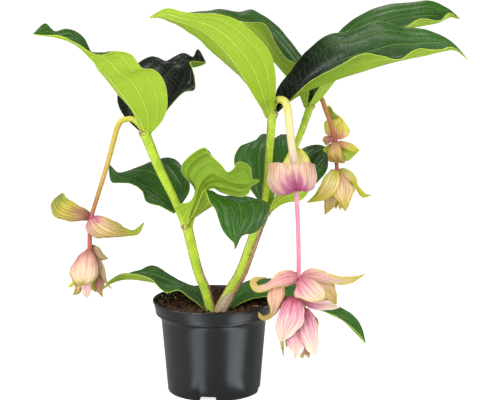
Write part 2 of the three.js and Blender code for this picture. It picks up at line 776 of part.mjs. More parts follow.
function place(name, finishName, solid, grown) {
  const mesh = new THREE.Mesh(toGeometry(solid), new THREE.MeshStandardMaterial(FINISHES[finishName]));
  mesh.name = name;
  plant.add(mesh);
  if (grown) clearances.push(grown);
}

// What a piece would share with those already placed is cut from it, with the clearance.
function cleared(solid) {
  return largestBody(clearances.reduce((rest, other) => rest.subtract(other), solid));
}

STEMS.forEach((stem) => {
  place(stem.name, 'stem', stemSolid(stem), stemSolid(stem, GAP));
});
STALKS.forEach((stalk) => {
  place(stalk.name, 'stalk', cleared(stalkSolid(stalk)), stalkSolid(stalk, GAP));
});
LEAVES.forEach((leaf) => {
  place(leaf.name, 'leaf', cleared(leafSolid(leaf)), leafSolid(leaf, GAP));
});
BLOOMS.forEach((bloom) => {
  place(bloom.name, bloom.finish, cleared(bloomSolid(bloom)), bloomSolid(bloom, GAP));
});
place('soil', 'soil', cleared(soilSolid()));
place('pot', 'pot', potSolid());

export default plant;
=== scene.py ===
"""Medinilla in a nursery pot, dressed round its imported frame.

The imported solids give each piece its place, and here each of them is replaced by a finer piece of
the same form: leaves with raised veins, cupped bracts with fine parallel veins, four-ridged stems
with corky edges, flower stalks, crumbly soil and a moulded pot. Lengths in the tables below are
millimetres, +Z is up, and the origin is the middle of the pot's flat underside.
"""

import logging
import math
import random
from dataclasses import dataclass
from dataclasses import field
from enum import Enum

import bpy
import numpy as np
from mathutils import Matrix
from mathutils import Vector
from mathutils import noise


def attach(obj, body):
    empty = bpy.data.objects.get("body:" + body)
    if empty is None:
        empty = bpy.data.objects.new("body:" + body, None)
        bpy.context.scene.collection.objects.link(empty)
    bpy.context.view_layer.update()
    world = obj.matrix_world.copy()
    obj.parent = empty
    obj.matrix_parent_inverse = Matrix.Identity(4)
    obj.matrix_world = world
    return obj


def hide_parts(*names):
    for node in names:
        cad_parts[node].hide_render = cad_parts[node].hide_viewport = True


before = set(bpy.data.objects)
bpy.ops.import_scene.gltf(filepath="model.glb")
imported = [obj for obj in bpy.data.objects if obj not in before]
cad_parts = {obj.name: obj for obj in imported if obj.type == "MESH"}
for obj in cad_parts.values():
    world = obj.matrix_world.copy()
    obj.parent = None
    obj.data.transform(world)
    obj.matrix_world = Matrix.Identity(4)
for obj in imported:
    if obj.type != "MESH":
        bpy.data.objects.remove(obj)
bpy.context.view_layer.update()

logging.basicConfig(level=logging.INFO, format="%(message)s")
LOG = logging.getLogger("medinilla")

MM = 0.001
ROOT = "root"
Point = tuple[float, float, float]
Bed = tuple[float, float, float, int]
Socket = bpy.types.NodeSocket
Colour = tuple[float, float, float, float]

# Shares of a blade's half width at which its long veins run, the midrib first.
VEINS = (0.0, 0.36, 0.72)
VEIN_WIDTHS = (1.0, 0.62, 0.5)  # shares of the main vein's width
TIP_HALF_WIDTH = 1.2  # half of a blade's width at its tip

# The rounded ends of stems and stalks: turns of their rings in degrees, and height by radius.
DOME_TURNS = (90, 66, 42, 20)
DOME_HEIGHT = 0.6
RIDGE_WIDTH = 0.3  # width of a stem's corner ridge, as a turn round the stem
GRAIN_SCALE = 0.35  # how fast a stem's roughness changes, by the millimetre
SMOOTH_GRAIN = 0.25  # share of that roughness where a stem has no cork


def shade(code: str) -> Colour:
    """Turn a hex colour into a linear one.

    Args:
        code: A colour such as "#afd332".

    Returns:
        Red, green, blue and alpha, linear.
    """
    parts = [int(code[k:k + 2], 16) / 255 for k in (1, 3, 5)]
    return (*[p / 12.92 if p <= 0.04045 else ((p + 0.055) / 1.055) ** 2.4 for p in parts], 1.0)


# ---------------------------------------------------------------- curves and meshes


class Rail:
    """A smooth line through given points: a uniform Catmull-Rom curve."""

    def __init__(self, points: list[Point] | list[tuple[float]]) -> None:
        """Keep the points.

        Args:
            points: Two or more points, in millimetres.
        """
        self.points = np.asarray(points, float)

    def at(self, t: np.ndarray) -> np.ndarray:
        """Find places on the line.

        Args:
            t: Shares of the way along, from 0 to 1.

        Returns:
            One row of coordinates for each share.
        """
        p = self.points
        last = len(p) - 1
        way = np.clip(t, 0, 1) * last
        i = np.minimum(way.astype(int), last - 1)
        tall = (-1, *[1] * (p.ndim - 1))
        w = (way - i).reshape(tall)
        before = np.where((i > 0).reshape(tall), p[np.maximum(i - 1, 0)], 2 * p[0] - p[1])
        after = np.where((i + 2 <= last).reshape(tall), p[np.minimum(i + 2, last)], 2 * p[-1] - p[-2])
        start = (p[i + 1] - before) / 2
        end = (after - p[i]) / 2
        gap = p[i + 1] - p[i]
        return p[i] + w * start + w**2 * (3 * gap - 2 * start - end) + w**3 * (start + end - 2 * gap)

    def heading(self, t: np.ndarray) -> np.ndarray:
        """Give the unit direction along the line at each share of the way."""
        small = 1e-4
        ahead = self.at(np.minimum(t + small, 1)) - self.at(np.maximum(t - small, 0))
        return unit(ahead)

    def length(self) -> float:
        """Measure the line, in millimetres."""
        places = self.at(np.linspace(0, 1, 64))
        return float(np.linalg.norm(np.diff(places, axis=0), axis=1).sum())


def unit(vectors: np.ndarray) -> np.ndarray:
    """Scale each vector of the last axis to a length of 1."""
    return vectors / np.maximum(np.linalg.norm(vectors, axis=-1, keepdims=True), 1e-9)


def bell(distance: np.ndarray, width: float) -> np.ndarray:
    """Give a smooth bump of height 1 that fades over a width."""
    return np.exp(-((distance / width) ** 2))


def deselect() -> None:
    """Leave nothing selected, so that an operator acts on the new piece alone."""
    bpy.ops.object.select_all(action="DESELECT")


def select(*pieces: bpy.types.Object) -> None:
    """Select these pieces alone, the first of them active."""
    deselect()
    for piece in pieces:
        piece.select_set(True)
    bpy.context.view_layer.objects.active = pieces[0]


def grid_piece(name: str, places: np.ndarray, lay: np.ndarray) -> bpy.types.Object:
    """Shape a grid primitive to a table of places.

    Args:
        name: The piece's name.
        places: Millimetres, as rows from foot to tip and columns from left to right.
        lay: The UV of each place.

    Returns:
        The new piece, with its faces towards across x along.
    """
    rows, columns = places.shape[:2]
    deselect()
    bpy.ops.mesh.primitive_grid_add(x_subdivisions=columns - 1, y_subdivisions=rows - 1, size=1)
    piece = bpy.context.object
    piece.name = name
    piece.data.name = name
    mesh = piece.data
    mesh.vertices.foreach_set("co", (places * MM).astype(np.float32).ravel())
    corner = np.empty(len(mesh.loops), np.int32)
    mesh.loops.foreach_get("vertex_index", corner)
    uv = lay.reshape(-1, 2)[corner].astype(np.float32)
    mesh.uv_layers.active.data.foreach_set("uv", uv.ravel())
    mesh.update()
    return piece


def mark(piece: bpy.types.Object, name: str, values: np.ndarray | float) -> None:
    """Store a number at each point of a piece, for its material to read."""
    layer = piece.data.attributes.get(name)
    if layer is None:
        layer = piece.data.attributes.new(name, "FLOAT", "POINT")
    filled = np.broadcast_to(np.asarray(values, np.float32).ravel(), (len(piece.data.vertices),))
    layer.data.foreach_set("value", np.ascontiguousarray(filled))


def close_up(piece: bpy.types.Object) -> None:
    """Merge a tube's seam and its poles."""
    select(piece)
    bpy.ops.object.mode_set(mode="EDIT")
    bpy.ops.mesh.select_all(action="SELECT")
    bpy.ops.mesh.remove_doubles(threshold=1e-6)
    bpy.ops.mesh.dissolve_degenerate(threshold=1e-7)
    bpy.ops.object.mode_set(mode="OBJECT")


def thicken(piece: bpy.types.Object, thickness: float, second_side: int) -> None:
    """Give a sheet its thickness, half to each side.

    Args:
        piece: A sheet whose faces look at its upper side.
        thickness: Millimetres.
        second_side: How many material slots on the lower side's material is.
    """
    select(piece)
    modifier = piece.modifiers.new("thickness", "SOLIDIFY")
    modifier.thickness = thickness * MM
    modifier.offset = 0
    modifier.use_quality_normals = True
    modifier.material_offset = second_side
    modifier.material_offset_rim = second_side
    bpy.ops.object.modifier_apply(modifier=modifier.name)


def smooth(piece: bpy.types.Object, angle: float | None = None) -> None:
    """Shade a piece smooth, or only its edges flatter than an angle in degrees."""
    select(piece)
    if angle is None:
        bpy.ops.object.shade_smooth()
    else:
        bpy.ops.object.shade_smooth_by_angle(angle=math.radians(angle))


def join(name: str, pieces: list[bpy.types.Object]) -> bpy.types.Object:
    """Join pieces into the first of them and name it."""
    select(*pieces)
    if len(pieces) > 1:
        bpy.ops.object.join()
    piece = bpy.context.object
    piece.name = name
    piece.data.name = name
    return piece


def seat(piece: bpy.types.Object, slot: str, *nodes: str) -> None:
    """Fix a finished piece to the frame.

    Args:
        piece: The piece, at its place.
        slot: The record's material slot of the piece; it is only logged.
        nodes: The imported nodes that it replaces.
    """
    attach(piece, ROOT)
    if nodes:
        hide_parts(*nodes)
    LOG.info("%s: %d faces, %s", piece.name, len(piece.data.polygons), slot)


# ---------------------------------------------------------------- node trees


class Nodes:
    """Short calls that add nodes to one tree."""

    def __init__(self, tree: bpy.types.NodeTree) -> None:
        """Keep the tree."""
        self.tree = tree

    def add(self, kind: str, **settings: object) -> bpy.types.Node:
        """Add a node and set its properties."""
        node = self.tree.nodes.new(kind)
        for key, value in settings.items():
            setattr(node, key, value)
        return node

    def feed(self, socket: Socket, source: object) -> None:
        """Link a socket to another one, or set its value."""
        if isinstance(source, bpy.types.NodeSocket):
            self.tree.links.new(source, socket)
        else:
            socket.default_value = source

    def math(self, operation: str, first: object, second: object = 0.0, clamp: bool = False) -> Socket:
        """Work out one operation on two numbers."""
        node = self.add("ShaderNodeMath", operation=operation, use_clamp=clamp)
        self.feed(node.inputs[0], first)
        self.feed(node.inputs[1], second)
        return node.outputs[0]

    def times(self, first: object, second: object, clamp: bool = False) -> Socket:
        """Multiply two numbers."""
        return self.math("MULTIPLY", first, second, clamp)

    def plus(self, first: object, second: object, clamp: bool = False) -> Socket:
        """Add two numbers."""
        return self.math("ADD", first, second, clamp)

    def minus(self, first: object, second: object) -> Socket:
        """Subtract the second number from the first."""
        return self.math("SUBTRACT", first, second)

    def mix(self, share: object, low: object, high: object) -> Socket:
        """Mix two colours."""
        node = self.add("ShaderNodeMix", data_type="RGBA")
        self.feed(node.inputs[0], share)
        self.feed(node.inputs[6], low)
        self.feed(node.inputs[7], high)
        return node.outputs[2]

    def noise(self, vector: Socket, scale: float, detail: float = 3.0, rough: float = 0.5) -> Socket:
        """Read a noise texture's value."""
        node = self.add("ShaderNodeTexNoise")
        self.feed(node.inputs["Vector"], vector)
        self.feed(node.inputs["Scale"], scale)
        self.feed(node.inputs["Detail"], detail)
        self.feed(node.inputs["Roughness"], rough)
        return node.outputs[0]

    def fade(self, value: Socket, low: object, high: object, top: float = 1.0) -> Socket:
        """Rise smoothly from 0 to top as a value goes from low to high."""
        node = self.add("ShaderNodeMapRange", interpolation_type="SMOOTHSTEP")
        self.feed(node.inputs["Value"], value)
        self.feed(node.inputs["From Min"], low)
        self.feed(node.inputs["From Max"], high)
        self.feed(node.inputs["To Max"], top)
        return node.outputs[0]

    def split(self, value: Socket, softness: Socket) -> Socket:
        """Rise from 0 to 1 round a value of a half, over a softness to each side of it."""
        return self.fade(value, self.minus(0.5, softness), self.plus(0.5, softness))

    def scaled(self, vector: Socket, scale: Point) -> Socket:
        """Scale a vector."""
        node = self.add("ShaderNodeMapping")
        self.feed(node.inputs["Vector"], vector)
        self.feed(node.inputs["Scale"], scale)
        return node.outputs[0]

    def ramp(self, share: Socket, stops: tuple[tuple[float, str], ...]) -> Socket:
        """Read a colour ramp.

        Args:
            share: The place on the ramp.
            stops: Places and hex colours.

        Returns:
            The colour.
        """
        node = self.add("ShaderNodeValToRGB")
        elements = node.color_ramp.elements
        for _ in range(len(stops) - 2):
            elements.new(0.5)
        for element, (place, code) in zip(elements, stops):
            element.position = place
            element.color = shade(code)
        self.feed(node.inputs[0], share)
        return node.outputs[0]

    def number(self, name: str) -> Socket:
        """Read a number that is stored at the piece's points."""
        return self.add("ShaderNodeAttribute", attribute_name=name).outputs["Fac"]

    def place(self) -> Socket:
        """Read the object's own coordinates, in metres."""
        return self.add("ShaderNodeTexCoord").outputs["Object"]

    def lay(self) -> tuple[Socket, Socket, Socket]:
        """Read the piece's UV, as a vector and as its two parts."""
        uv = self.add("ShaderNodeTexCoord").outputs["UV"]
        parts = self.add("ShaderNodeSeparateXYZ")
        self.feed(parts.inputs[0], uv)
        return uv, parts.outputs[0], parts.outputs[1]

    def bump(self, height: Socket, distance: float) -> Socket:
        """Turn a height into a normal.

        Args:
            height: The height, of about 0 to 1.
            distance: Millimetres from 0 to 1.

        Returns:
            The normal.
        """
        node = self.add("ShaderNodeBump")
        self.feed(node.inputs["Height"], height)
        self.feed(node.inputs["Distance"], distance * MM)
        return node.outputs[0]

    def use(self, group: bpy.types.NodeTree, **values: object) -> bpy.types.Node:
        """Place a node group with its own values."""
        node = self.add("ShaderNodeGroup", node_tree=group)
        for key, value in values.items():
            self.feed(node.inputs[key], value)
        return node

    def mask(self, group: bpy.types.NodeTree, **values: object) -> Socket:
        """Place a node group and read its mask."""
        return self.use(group, **values).outputs["Mask"]


class Paint(Nodes):
    """A new material and its Principled shader."""

    def __init__(self, name: str, specular: float) -> None:
        """Make the material.

        Args:
            name: Its name.
            specular: The shader's IOR level.
        """
        self.material = bpy.data.materials.new(name)
        self.material.use_nodes = True
        super().__init__(self.material.node_tree)
        self.shader = self.tree.nodes["Principled BSDF"]
        self.shader.inputs["Specular IOR Level"].default_value = specular

    def finish(self, colour: Socket, rough: object, normal: Socket | None = None) -> bpy.types.Material:
        """Wire the shader and give the material."""
        self.feed(self.shader.inputs["Base Color"], colour)
        self.feed(self.shader.inputs["Roughness"], rough)
        if normal is not None:
            self.feed(self.shader.inputs["Normal"], normal)
        return self.material


def new_group(name: str, inputs: dict[str, float], outputs: list[str]) -> tuple[Nodes, dict, dict]:
    """Start a shader node group.

    Args:
        name: Its name.
        inputs: Named numbers and their usual values.
        outputs: Named numbers that it gives.

    Returns:
        Its nodes, its input sockets and its output sockets, by name.
    """
    tree = bpy.data.node_groups.new(name, "ShaderNodeTree")
    for key, value in inputs.items():
        socket = tree.interface.new_socket(name=key, in_out="INPUT", socket_type="NodeSocketFloat")
        socket.default_value = value
    for key in outputs:
        tree.interface.new_socket(name=key, in_out="OUTPUT", socket_type="NodeSocketFloat")
    nodes = Nodes(tree)
    entry = nodes.add("NodeGroupInput")
    leave = nodes.add("NodeGroupOutput")
    return nodes, {k: entry.outputs[k] for k in inputs}, {k: leave.inputs[k] for k in outputs}


def mottle_group() -> bpy.types.NodeTree:
    """Make soft blotches in the object's own space.

    Returns:
        A group that takes a size in millimetres and a softness, and gives a mask.
    """
    nodes, given, out = new_group("mottle", {"Size": 20.0, "Softness": 0.15}, ["Mask"])
    scale = nodes.math("DIVIDE", 1 / MM, given["Size"])
    value = nodes.noise(nodes.place(), scale, 4.0, 0.55)
    nodes.feed(out["Mask"], nodes.split(value, given["Softness"]))
    return nodes.tree


def streak_group() -> bpy.types.NodeTree:
    """Make fibres that run along the piece's V.

    Returns:
        A group that takes how many cross the piece and how they wander, and gives a mask.
    """
    given_numbers = {"Count": 12.0, "Wander": 1.0, "Softness": 0.2, "Seed": 0.0}
    nodes, given, out = new_group("streaks", given_numbers, ["Mask"])
    _, across, along = nodes.lay()
    spot = nodes.add("ShaderNodeCombineXYZ")
    nodes.feed(spot.inputs[0], nodes.times(across, given["Count"]))
    nodes.feed(spot.inputs[1], nodes.times(along, given["Wander"]))
    nodes.feed(spot.inputs[2], given["Seed"])
    value = nodes.noise(spot.outputs[0], 1.0, 2.0, 0.5)
    nodes.feed(out["Mask"], nodes.split(value, given["Softness"]))
    return nodes.tree


def rib_group() -> bpy.types.NodeTree:
    """Make a bract's thin parallel veins, which fade in and out.

    Returns:
        A group that takes how many cross the bract and how thin they are, and gives a mask.
    """
    nodes, given, out = new_group("ribs", {"Count": 9.0, "Thin": 0.3}, ["Mask"])
    uv, across, along = nodes.lay()
    drift = nodes.noise(nodes.scaled(uv, (2.5, 3.0, 1.0)), 1.0, 2.0)
    drift = nodes.times(nodes.minus(drift, 0.5), 0.05)
    place = nodes.plus(nodes.minus(across, 0.5), drift)
    turn = nodes.times(place, given["Count"])
    wave = nodes.math("ABSOLUTE", nodes.math("SINE", nodes.times(turn, math.pi)))
    line = nodes.minus(1.0, nodes.fade(wave, 0.0, given["Thin"]))
    spot = nodes.add("ShaderNodeCombineXYZ")
    nodes.feed(spot.inputs[0], nodes.times(nodes.math("ROUND", turn), 7.3))
    nodes.feed(spot.inputs[1], nodes.times(along, 2.6))
    strength = nodes.fade(nodes.noise(spot.outputs[0], 1.0, 1.0), 0.3, 0.62)
    nodes.feed(out["Mask"], nodes.times(line, nodes.plus(strength, 0.2, clamp=True)))
    return nodes.tree


def vein_group() -> bpy.types.NodeTree:
    """Make a leaf's long veins, its fine cross veins and its margin.

    Returns:
        A group that takes the main vein's width in millimetres, and gives masks.
    """
    nodes, given, out = new_group("veins", {"Width": 1.2}, ["Line", "Cross", "Edge"])
    uv, across, along = nodes.lay()
    span = nodes.number("span")
    side = nodes.math("ABSOLUTE", nodes.minus(nodes.times(across, 2.0), 1.0))
    lines = []
    for vein, share in zip(VEINS, VEIN_WIDTHS):
        off = nodes.math("ABSOLUTE", nodes.minus(side, vein))
        off = nodes.times(off, span)
        width = nodes.times(given["Width"], share)
        lines.append(nodes.minus(1.0, nodes.fade(off, nodes.times(width, 0.35), width)))
    line = nodes.math("MAXIMUM", nodes.math("MAXIMUM", lines[0], lines[1]), lines[2])
    late = nodes.minus(1.0, nodes.fade(along, 0.75, 1.0, 0.8))
    nodes.feed(out["Line"], nodes.times(line, late))
    margin = nodes.times(nodes.minus(1.0, side), span)
    nodes.feed(out["Edge"], nodes.minus(1.0, nodes.fade(margin, 0.3, 1.1)))
    wander = nodes.noise(nodes.scaled(uv, (9.0, 5.0, 1.0)), 1.0, 2.0)
    way = nodes.plus(nodes.times(along, 34.0), nodes.times(wander, 3.2))
    way = nodes.plus(way, nodes.times(side, -2.4))
    wave = nodes.math("ABSOLUTE", nodes.math("SINE", nodes.times(way, math.pi)))
    nodes.feed(out["Cross"], nodes.minus(1.0, nodes.fade(wave, 0.0, 0.28)))
    return nodes.tree


# ---------------------------------------------------------------- finishes


@dataclass(frozen=True)
class Effects:
    """The node groups that the finishes share."""

    mottle: bpy.types.NodeTree
    streaks: bpy.types.NodeTree
    veins: bpy.types.NodeTree
    ribs: bpy.types.NodeTree

    @classmethod
    def make(cls) -> "Effects":
        """Build the four groups."""
        return cls(mottle_group(), streak_group(), vein_group(), rib_group())


@dataclass(frozen=True)
class LeafFinish:
    """One side of a leaf: its ground, its veins and its shine.

    The ground follows the leaf's "tone": light at 1, dark at 0 and deep at -0.6 and below. The tone is
    partly the leaf's own colour and partly painted shade; the near-black deep ground below 0 is painted
    shade.
    Where it is deep, the veins' lines, the blotches and the grain fade away.
    """

    name: str
    deep: str
    dark: str
    light: str
    blotch: str
    vein: str
    flank: str
    edge: str
    vein_width: float
    vein_strength: float
    edge_strength: float
    cross_strength: float
    grain_strength: float
    rough: float
    specular: float
    relief: float
    blotch_strength: float = 0.4
    flank_width: float = 2.6
    flank_strength: float = 0.6
    cross_relief: float = 1.6

    def make(self, effects: Effects) -> bpy.types.Material:
        """Build the material.

        Args:
            effects: The shared node groups.

        Returns:
            A material that reads the leaf's UV and its "span" and "tone" numbers.
        """
        paint = Paint(self.name, self.specular)
        tone = paint.number("tone")
        blotches = paint.mask(effects.mottle, Size=30.0, Softness=0.2)
        specks = paint.mask(effects.mottle, Size=2.4, Softness=0.2)
        dots = paint.mask(effects.mottle, Size=1.1, Softness=0.06)
        veins = paint.use(effects.veins, Width=self.vein_width)
        flanks = paint.use(effects.veins, Width=self.flank_width * self.vein_width).outputs["Line"]
        cross = veins.outputs["Cross"]
        lively = paint.fade(tone, -0.02, 0.3)
        colour = paint.mix(tone, shade(self.dark), shade(self.light))
        # Painted shade: below a tone of 0 the ground darkens towards the near-black deep colour.
        colour = paint.mix(paint.fade(tone, -0.6, 0.0), shade(self.deep), colour)
        blotchy = paint.times(blotches, paint.times(lively, self.blotch_strength))
        colour = paint.mix(blotchy, colour, shade(self.blotch))
        grain = paint.times(paint.times(specks, dots), self.grain_strength)
        grain = paint.times(grain, lively)
        colour = paint.mix(grain, colour, shade(self.vein))
        colour = paint.mix(paint.times(cross, self.cross_strength), colour, shade(self.vein))
        flank = paint.times(flanks, self.flank_strength * self.vein_strength)
        colour = paint.mix(flank, colour, shade(self.flank))
        line = paint.times(veins.outputs["Line"], paint.times(lively, self.vein_strength))
        colour = paint.mix(line, colour, shade(self.vein))
        edge = paint.times(veins.outputs["Edge"], self.edge_strength)
        colour = paint.mix(edge, colour, shade(self.edge))
        rough = paint.plus(self.rough, paint.times(specks, 0.06))
        height = paint.minus(specks, paint.times(cross, self.cross_relief))
        return paint.finish(colour, rough, paint.bump(height, self.relief))


# The deep colours are painted shade, used where a leaf's tone falls below 0.
UPPER_SIDE = LeafFinish(
    "leaf upper side", deep="#030504", dark="#0b140a", light="#387420", blotch="#1c4414", vein="#7fae3c",
    flank="#16330f", edge="#a9c24e", vein_width=1.0, vein_strength=0.62, edge_strength=0.5,
    cross_strength=0.07, grain_strength=0.22, rough=0.22, specular=0.27, relief=0.10,
)
LOWER_SIDE = LeafFinish(
    "leaf lower side", deep="#5c7c1a", dark="#84a81f", light="#b2d424", blotch="#9abf26", vein="#d6ea62",
    flank="#7c9c1c", edge="#cfe05c", vein_width=1.3, vein_strength=0.75, edge_strength=0.5,
    cross_strength=0.10, grain_strength=0.30, rough=0.42, specular=0.35, relief=0.12,
)


@dataclass(frozen=True)
class BractFinish:
    """A bract: its colours from foot to tip, its thin stripes, its painted highlight streaks and its
    coloured edge.

    The edge colour starts at a share of the way to the tip. It keeps to both margins, or with lean 1
    to the right one alone. A pull brings the foot's colours farther along the right margin, and a
    flare brings the tip's colours nearer along both. A drag draws the foot's colours out in strokes.
    """

    name: str
    stops: tuple[tuple[float, str], ...]
    stripe: str
    edge: str
    width: float
    start: float = 0.05
    lean: float = 0.0
    pull: float = 0.0
    flare: float = 0.06
    lines: float = 0.8
    drag: float = 0.2

    def make(self, effects: Effects) -> bpy.types.Material:
        """Build the material, or give the one built before.

        Args:
            effects: The shared node groups.

        Returns:
            A material that reads the bract's UV and its "span" number.
        """
        known = bpy.data.materials.get("bract " + self.name)
        if known is not None:
            return known
        paint = Paint("bract " + self.name, 0.35)
        _, across, along = paint.lay()
        lop = paint.minus(paint.times(across, 2.0), 1.0)
        side = paint.math("ABSOLUTE", lop)
        blotches = paint.mask(effects.mottle, Size=8.0, Softness=0.2)
        strokes = paint.mask(effects.streaks, Count=11.0, Wander=1.2, Softness=0.14)
        fine = paint.mask(effects.streaks, Count=32.0, Wander=2.2, Softness=0.14, Seed=4.0)
        lines = paint.mask(effects.ribs, Count=9.0, Thin=0.3)
        way = paint.plus(along, paint.times(paint.times(side, side), self.flare))
        way = paint.minus(way, paint.times(lop, self.pull))
        for mask, share in ((blotches, 0.08), (strokes, -self.drag), (fine, -0.1)):
            way = paint.plus(way, paint.times(paint.minus(mask, 0.5), share))
        colour = paint.ramp(way, self.stops)
        colour = paint.mix(paint.times(strokes, 0.22), colour, shade(self.stripe))
        # Painted highlight: whitish fine streaks along the fibres.
        colour = paint.mix(paint.times(fine, 0.1), colour, (1.0, 0.97, 0.92, 1.0))
        colour = paint.mix(paint.times(lines, self.lines), colour, shade(self.stripe))
        margin = paint.times(paint.minus(1.0, side), paint.number("span"))
        ragged = paint.times(paint.minus(fine, strokes), 0.25 * self.width)
        margin = paint.plus(margin, ragged)
        rim = paint.minus(1.0, paint.fade(margin, 0.3 * self.width, self.width))
        rim = paint.times(rim, paint.fade(along, self.start, self.start + 0.25, 0.92))
        other = paint.times(lop, -self.lean, clamp=True)
        rim = paint.times(rim, paint.minus(1.0, other))
        colour = paint.mix(rim, colour, shade(self.edge))
        rough = paint.plus(0.42, paint.times(blotches, 0.1))
        height = paint.plus(lines, paint.times(fine, 0.6))
        return paint.finish(colour, rough, paint.bump(height, 0.2))


class Tint(Enum):
    """The bracts' finishes."""

    OLIVE = BractFinish(
        "olive",
        (
            (0, "#843840"), (0.12, "#9c5a4a"), (0.28, "#bc9044"), (0.5, "#c8b626"), (0.68, "#9a9c26"),
            (1, "#78862a"),
        ),
        "#54380f", "#a6b82c", 3.5, 0.3, lines=1.4, drag=0.05,
    )
    ROSE_GOLD = BractFinish(
        "rose gold",
        (
            (0, "#b42a70"), (0.07, "#c85680"), (0.15, "#d8a290"), (0.25, "#ceb06c"), (0.5, "#b89e42"),
            (0.74, "#a8ae3a"), (1, "#98b42e"),
        ),
        "#5e3c18", "#a2b428", 5.5, 0.3, 0.9, flare=0.0, lines=1.4, drag=0.02,
    )
    BELL = BractFinish(
        "bell",
        (
            (0, "#a85648"), (0.1, "#bc7260"), (0.24, "#d09a80"), (0.4, "#e2c69c"), (0.64, "#e6d4a2"),
            (0.8, "#c0ac4c"), (0.92, "#967c2c"), (1, "#84702e"),
        ),
        "#c4688c", "#bcac38", 8.0, 0.36, flare=-0.12, lines=0.4, drag=0.12,
    )
    TAN = BractFinish(
        "tan",
        (
            (0, "#7e4630"), (0.15, "#ac8456"), (0.35, "#c4a07c"), (0.6, "#c0a678"), (0.85, "#a6a64e"),
            (1, "#869038"),
        ),
        "#8c5040", "#aaa84c", 2.5,
    )
    AMBER = BractFinish(
        "amber",
        (
            (0, "#a4583c"), (0.15, "#d4966a"), (0.35, "#e8bc74"), (0.55, "#dfbe64"), (0.75, "#b28e30"),
            (1, "#786420"),
        ),
        "#86422a", "#b2a02a", 3.5,
    )
    RUST = BractFinish(
        "rust",
        ((0, "#8e3a38"), (0.3, "#a05444"), (0.6, "#b88060"), (1, "#b6a454")),
        "#743028", "#b09c54", 1.4,
    )
    CREAM = BractFinish(
        "cream",
        (
            (0, "#c07068"), (0.15, "#e4a68c"), (0.4, "#ebc3a0"), (0.6, "#dcc080"), (0.82, "#c2a858"),
            (1, "#9e8e3e"),
        ),
        "#b26a4c", "#b6a046", 3.2,
    )
    PINK = BractFinish(
        "pink",
        (
            (0, "#a4264e"), (0.12, "#c0486e"), (0.26, "#d67c98"), (0.42, "#e8acb2"), (0.6, "#efc8ba"),
            (0.82, "#f0d8bc"), (1, "#dfc688"),
        ),
        "#b04c78", "#f6e2d4", 1.8, lines=0.7,
    )
    PEACH = BractFinish(
        "peach",
        (
            (0, "#b8505a"), (0.08, "#d48486"), (0.22, "#e6a4a0"), (0.4, "#ecc0ac"), (0.58, "#e4cc98"),
            (0.8, "#d2bc6c"), (1, "#c0ac58"),
        ),
        "#9e4a48", "#d2bc52", 4.2, 0.06,
    )
    BLUSH = BractFinish(
        "blush",
        (
            (0, "#b03a5c"), (0.12, "#cc6680"), (0.3, "#e49ca4"), (0.5, "#f0ccb4"), (0.74, "#f0dcae"),
            (0.9, "#ccba5c"), (1, "#b6a444"),
        ),
        "#96506a", "#bcac40", 5.5, 0.42, pull=0.1,
    )
    SKIRT = BractFinish(
        "skirt",
        (
            (0, "#941848"), (0.22, "#a62262"), (0.4, "#b23e76"), (0.54, "#c87488"), (0.68, "#dcaa9a"),
            (0.86, "#e6c2a4"), (1, "#cea278"),
        ),
        "#a2527c", "#f0c4c8", 1.6, flare=0.2, lines=0.5,
    )
    YELLOW = BractFinish(
        "yellow",
        ((0, "#efdcae"), (0.3, "#f6eca4"), (0.6, "#f8f290"), (0.85, "#e4e25c"), (1, "#d0d448")),
        "#d6cc60", "#d4d844", 4.5, lines=0.5,
    )
    FRILL = BractFinish(
        "frill",
        (
            (0, "#b86c50"), (0.15, "#de9a68"), (0.32, "#f8c684"), (0.48, "#f2de68"), (0.62, "#eae43e"),
            (0.8, "#f6ee66"), (1, "#d2d834"),
        ),
        "#ac5440", "#dede30", 3.4,
    )
    GREEN = BractFinish(
        "green",
        ((0, "#b8963c"), (0.2, "#aab826"), (0.55, "#b6d02c"), (1, "#b6c030")),
        "#74881e", "#d2e04c", 1.8, lines=0.4,
    )
    LIME = BractFinish(
        "lime",
        (
            (0, "#c4b42a"), (0.1, "#dccf44"), (0.25, "#fae98c"), (0.42, "#f6da86"), (0.6, "#e4ca54"),
            (0.78, "#c6be30"), (1, "#bcbc32"),
        ),
        "#84502a", "#c8c82c", 5.5, 0.0, drag=0.1,
    )
    SHELL = BractFinish(
        "shell",
        (
            (0, "#cc8c6c"), (0.15, "#eab08e"), (0.35, "#fad2a2"), (0.6, "#fadc90"), (0.8, "#e0c858"),
            (1, "#b8a830"),
        ),
        "#aa604c", "#d2be42", 4.0,
    )


